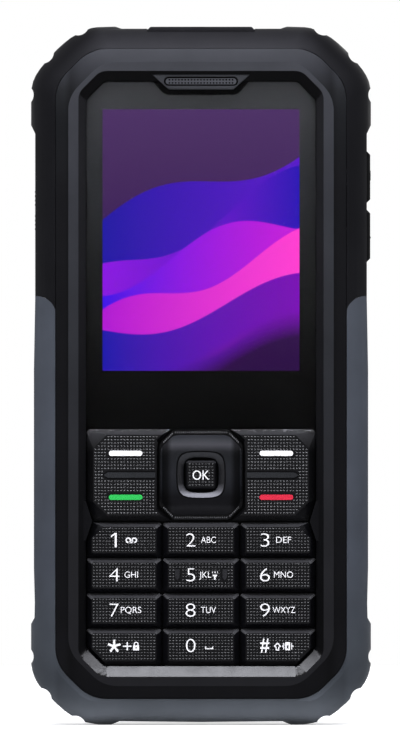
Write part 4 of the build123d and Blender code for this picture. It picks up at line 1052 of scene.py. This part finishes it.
ring_form = bmesh.new()
ring_rows = []
for side_inset, top_inset, low_inset, cut, sharpness, share in ring_loops:
    half_z = nav_half_z - (top_inset + low_inset) / 2
    centre = nav_z + (low_inset - top_inset) / 2
    depth = nav_front + share * (nav_back - nav_front)
    row = []
    for i in range(ring_steps):
        turn = 2 * pi * (i + 0.5) / ring_steps
        reach = ring_reach(turn, nav_half_x - side_inset, half_z, cut, sharpness)
        row.append(ring_form.verts.new(spot(reach * cos(turn), depth, centre + reach * sin(turn))))
    ring_rows.append(row)
for index, (outer, inner) in enumerate(zip(ring_rows, ring_rows[1:] + ring_rows[:1])):
    for i in range(ring_steps):
        j = (i + 1) % ring_steps
        face = ring_form.faces.new((outer[i], outer[j], inner[j], inner[i]))
        face.material_index = {groove_row: 2, well_row: 1}.get(index, 0)
bmesh.ops.recalc_face_normals(ring_form, faces=ring_form.faces)
ring_mesh = settle(ring_form, "nav_ring_form", ring_smooth_angle)
ring_piece = add_beside("nav_ring", "nav_ring_form", ring_mesh, nav_black_painted_light, well_painted_highlight, print_and_painted_shade_black)
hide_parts("nav_ring")
recast("nav_carrier", key_face)

# OK key, with painted light on its slopes that look up and on its corners
recast("ok_key", key_black, key_slope_painted_light, key_face, key_slope_painted_light, segments=3, choose=key_finish)
outline, depth = front_outline("ok_key")
stud_field("ok_key", outline, depth)
ok_left, ok_low, ok_width, ok_height = -1.55, 45.66, 3.08, 1.75
ok_mesh = text_mesh("OK", ok_left, ok_low, ok_height, ok_width, depth, ok_trim)
add_marks("ok_key", "ok_key_legend", [ok_mesh], print_white)

# Narrow studs along the upper and lower edge of the ring's carrier and its cut corners, pale grey as a
# painted highlight
carrier_low, carrier_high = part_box("nav_carrier")
carrier_half, carrier_bottom, carrier_top = carrier_high.x / MM, carrier_low.z / MM, carrier_high.z / MM
carrier_cut, strip_inset, strip_share, corner_studs = 2.7, 0.5, 0.62, 7
strip_form = bmesh.new()
strip_row = depth_of(carrier_low.y)
strip_pitch = stud_pitch * strip_share
flat_half = carrier_half - carrier_cut
flat_studs = int(flat_half / strip_pitch)
for level, way in ((carrier_top - strip_inset, -1), (carrier_bottom + strip_inset, 1)):
    for column in range(-flat_studs, flat_studs + 1):
        add_stud(strip_form, column * strip_pitch, level, strip_row, strip_share)
    for side in (-1, 1):
        for step in range(1, corner_studs + 1):
            reach = step * strip_pitch * sqrt(0.5)
            add_stud(strip_form, side * (flat_half + reach), level + way * reach, strip_row, strip_share)
strip_form.normal_update()
add_beside("nav_carrier", "nav_carrier_studs", mesh_from(strip_form, "nav_carrier_studs"), stud_painted_highlight)


# Side keys and flaps
def on_side(mesh, side, face, middle_y):
    """Turn a flat mesh onto the right (1) or left (-1) side; its depth then counts inwards from the face."""
    for v in mesh.vertices:
        inwards = v.co.y - front_y
        v.co = (side * (face - inwards), middle_y + side * v.co.x, v.co.z)
    return mesh


sign_reach, sign_half, sign_proud = 0.9, 0.16, 0.09
for node_name, loop_count in (("volume_up_key", 3), ("volume_down_key", 1)):
    recast(node_name, side_black, bevel=0.14, segments=3)
    low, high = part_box(node_name)
    middle_y, middle_z = (low.y + high.y) / 2, (low.z + high.z) / 2 / MM
    loops = plus_loops(0.0, middle_z, sign_reach, sign_half)[:loop_count]
    meshes = [on_side(flat_mesh([loop], -sign_proud, mark_sink), 1, high.x, middle_y) for loop in loops]
    add_marks(node_name, node_name + "_sign", meshes, side_black)

rib_count, rib_pitch, rib_start, rib_half, rib_reach, rib_proud, rib_steps = 4, 0.8, 1.0, 0.18, 2.0, 0.07, 3
for node_name, way in (("usb_port_flap", -1), ("audio_port_flap", 1)):
    recast(node_name, flap_black, bevel=0.16, segments=3)
    low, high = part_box(node_name)
    middle_y = (low.y + high.y) / 2
    free_end = (low.z if way < 0 else high.z) / MM
    meshes = []
    for i in range(rib_count):
        level = free_end - way * (rib_start + i * rib_pitch)
        rib_box = (-rib_reach, level - rib_half, rib_reach, level + rib_half)
        rib = flat_mesh([rounded_loop(*rib_box, rib_half - round_gap, rib_steps)], -rib_proud, mark_sink)
        meshes.append(on_side(rib, -1, -low.x, middle_y))
    add_marks(node_name, node_name + "_ribs", meshes, flap_black)

# Torch, camera, flash and loudspeaker
# The torch bezel takes the upper bumper's black with its painted highlight
recast("torch_bezel", bumper_black_painted_highlight, bevel=0.14, segments=3)
recast("camera_bezel", bezel_dark, bevel=0.1, segments=3)
recast("speaker_grille", bezel_dark, bevel=0.06)
recast("torch_lens", cover_clear, segments=3)
recast("flash_lens", cover_clear, bevel=0.08)

# Nodes that keep their shape: the lit panel and the parts inside
steel_parts = ("lcd_frame", "dome_sheet", "side_switches", "usb_connector", "shield_cans", "sim_card_holder")
steel_parts += ("vibration_motor", "microphone", "housing_screws")
black_parts = ("earpiece_receiver", "key_membrane", "audio_jack", "camera_module", "loudspeaker")
for material, node_names in (
    (display_picture, ["lcd_panel"]),
    (steel, steel_parts),
    (part_black, black_parts),
    (phosphor, ["torch_led", "flash_led"]),
    (glass_dark, ["camera_lens"]),
    (board_green, ["main_board"]),
    (battery_wrap, ["battery"]),
    (contact_gold, ["battery_contacts"]),
    (seal_red, ["battery_cover_gasket"]),
    (copper, ["antenna"]),
):
    for node_name in node_names:
        data = frame["nodes"][node_name].data
        data.materials.clear()
        data.materials.append(material)

# Studio: pale floor, white surroundings, an arch of strips in front and above, and two broad fills
phone_middle = (phone_low + phone_high) / 2


def area_light(name, place, width, depth, power, tint=(1.0, 1.0, 1.0), along=(1.0, 0.0, 0.0)):
    """Rectangular lamp that faces the phone, its width along a direction; lengths are in metres."""
    lamp = bpy.data.lights.new(name, "AREA")
    lamp.shape = "RECTANGLE"
    lamp.size, lamp.size_y = width, depth
    lamp.energy = power
    lamp.color = tint
    holder = placed(name, lamp)
    holder.location = place
    outwards = (Vector(place) - phone_middle).normalized()
    upwards = outwards.cross(Vector(along)).normalized()
    sideways = upwards.cross(outwards)
    holder.rotation_euler = Matrix((sideways, upwards, outwards)).transposed().to_euler()


strip_distance, strip_rise, strip_length, strip_depth = 1.0, radians(67), 0.42, 0.07
strip_radiance, strip_tint = 46.0, (0.91, 0.92, 1.0)
for turn, strength in ((-50, 0.6), (-25, 0.9), (0, 1.0), (25, 0.9), (50, 0.6)):
    aside, up = sin(radians(turn)), cos(radians(turn))
    direction = Vector((aside * sin(strip_rise), -cos(strip_rise), up * sin(strip_rise)))
    place = phone_middle + direction * strip_distance
    power = strip_radiance * strength * pi * strip_length * strip_depth
    area_light(f"strip_{turn}", place, strip_length, strip_depth, power, strip_tint, (up, 0.0, -aside))
fill_size = 1.2
for name, place, power in (("front_fill", (-0.5, -1.6, 0.6), 4.0), ("rear_fill", (0.6, 1.5, 0.7), 9.0)):
    area_light(name, place, fill_size, fill_size, power)


def seen_share(graph):
    """One for a ray from the camera, a reflection or a window, and nought for the rest."""
    paths = graph.add("ShaderNodeLightPath").outputs
    seen = graph.work("MAXIMUM", paths["Is Camera Ray"], paths["Is Glossy Ray"])
    return graph.work("MAXIMUM", seen, paths["Is Transmission Ray"])


white = (1.0, 1.0, 1.0, 1.0)
ambient_level = 0.3
world = bpy.data.worlds.new("studio")
scene.world = world
sky = Graph(world)
background = sky.nodes["Background"].inputs
strength = sky.span(seen_share(sky), 0.0, 1.0, ambient_level, 1.0)
sky.feed((background["Color"], background["Strength"]), white, strength)

floor_radius, floor_sides, floor_scale, floor_glow = 0.6, 96, 300.0, 0.42
floor_form = bmesh.new()
bmesh.ops.create_circle(floor_form, cap_ends=True, radius=floor_radius, segments=floor_sides)
floor = placed("floor", mesh_from(floor_form, "floor"))
floor.location.z = phone_low.z
graph = Graph(bpy.data.materials.new("floor_white"))
speckle = graph.spread(graph.noise(graph.place(), floor_scale))
floor_white = graph.dress({
    "Base Color": graph.mixed(speckle, linear("#e4e4e4"), linear("#e8e8e8")),
    "Emission Color": white,
    "Emission Strength": graph.span(seen_share(graph), 0.0, 1.0, 0.0, floor_glow),
    "Roughness": 0.9,
    "Specular IOR Level": 0.1,
})
floor.data.materials.append(floor_white)

# Camera square to the display, far away, framed as the photograph
camera_data = bpy.data.cameras.new("camera")
camera_data.sensor_fit = "VERTICAL"
camera_data.sensor_height = sensor_height
camera_data.lens = sensor_height * camera_distance / (picture_height * mm_per_pixel)
camera_data.clip_end = camera_reach
camera = placed("camera", camera_data)
camera_x = (picture_width / 2 - centre_pixel) * mm_per_pixel
camera_z = (floor_pixel - picture_height / 2) * mm_per_pixel
camera.location = (camera_x * MM, -camera_distance * MM, camera_z * MM)
camera.rotation_euler = (pi / 2, 0, 0)
scene.camera = camera
scene.view_settings.view_transform = "Standard"
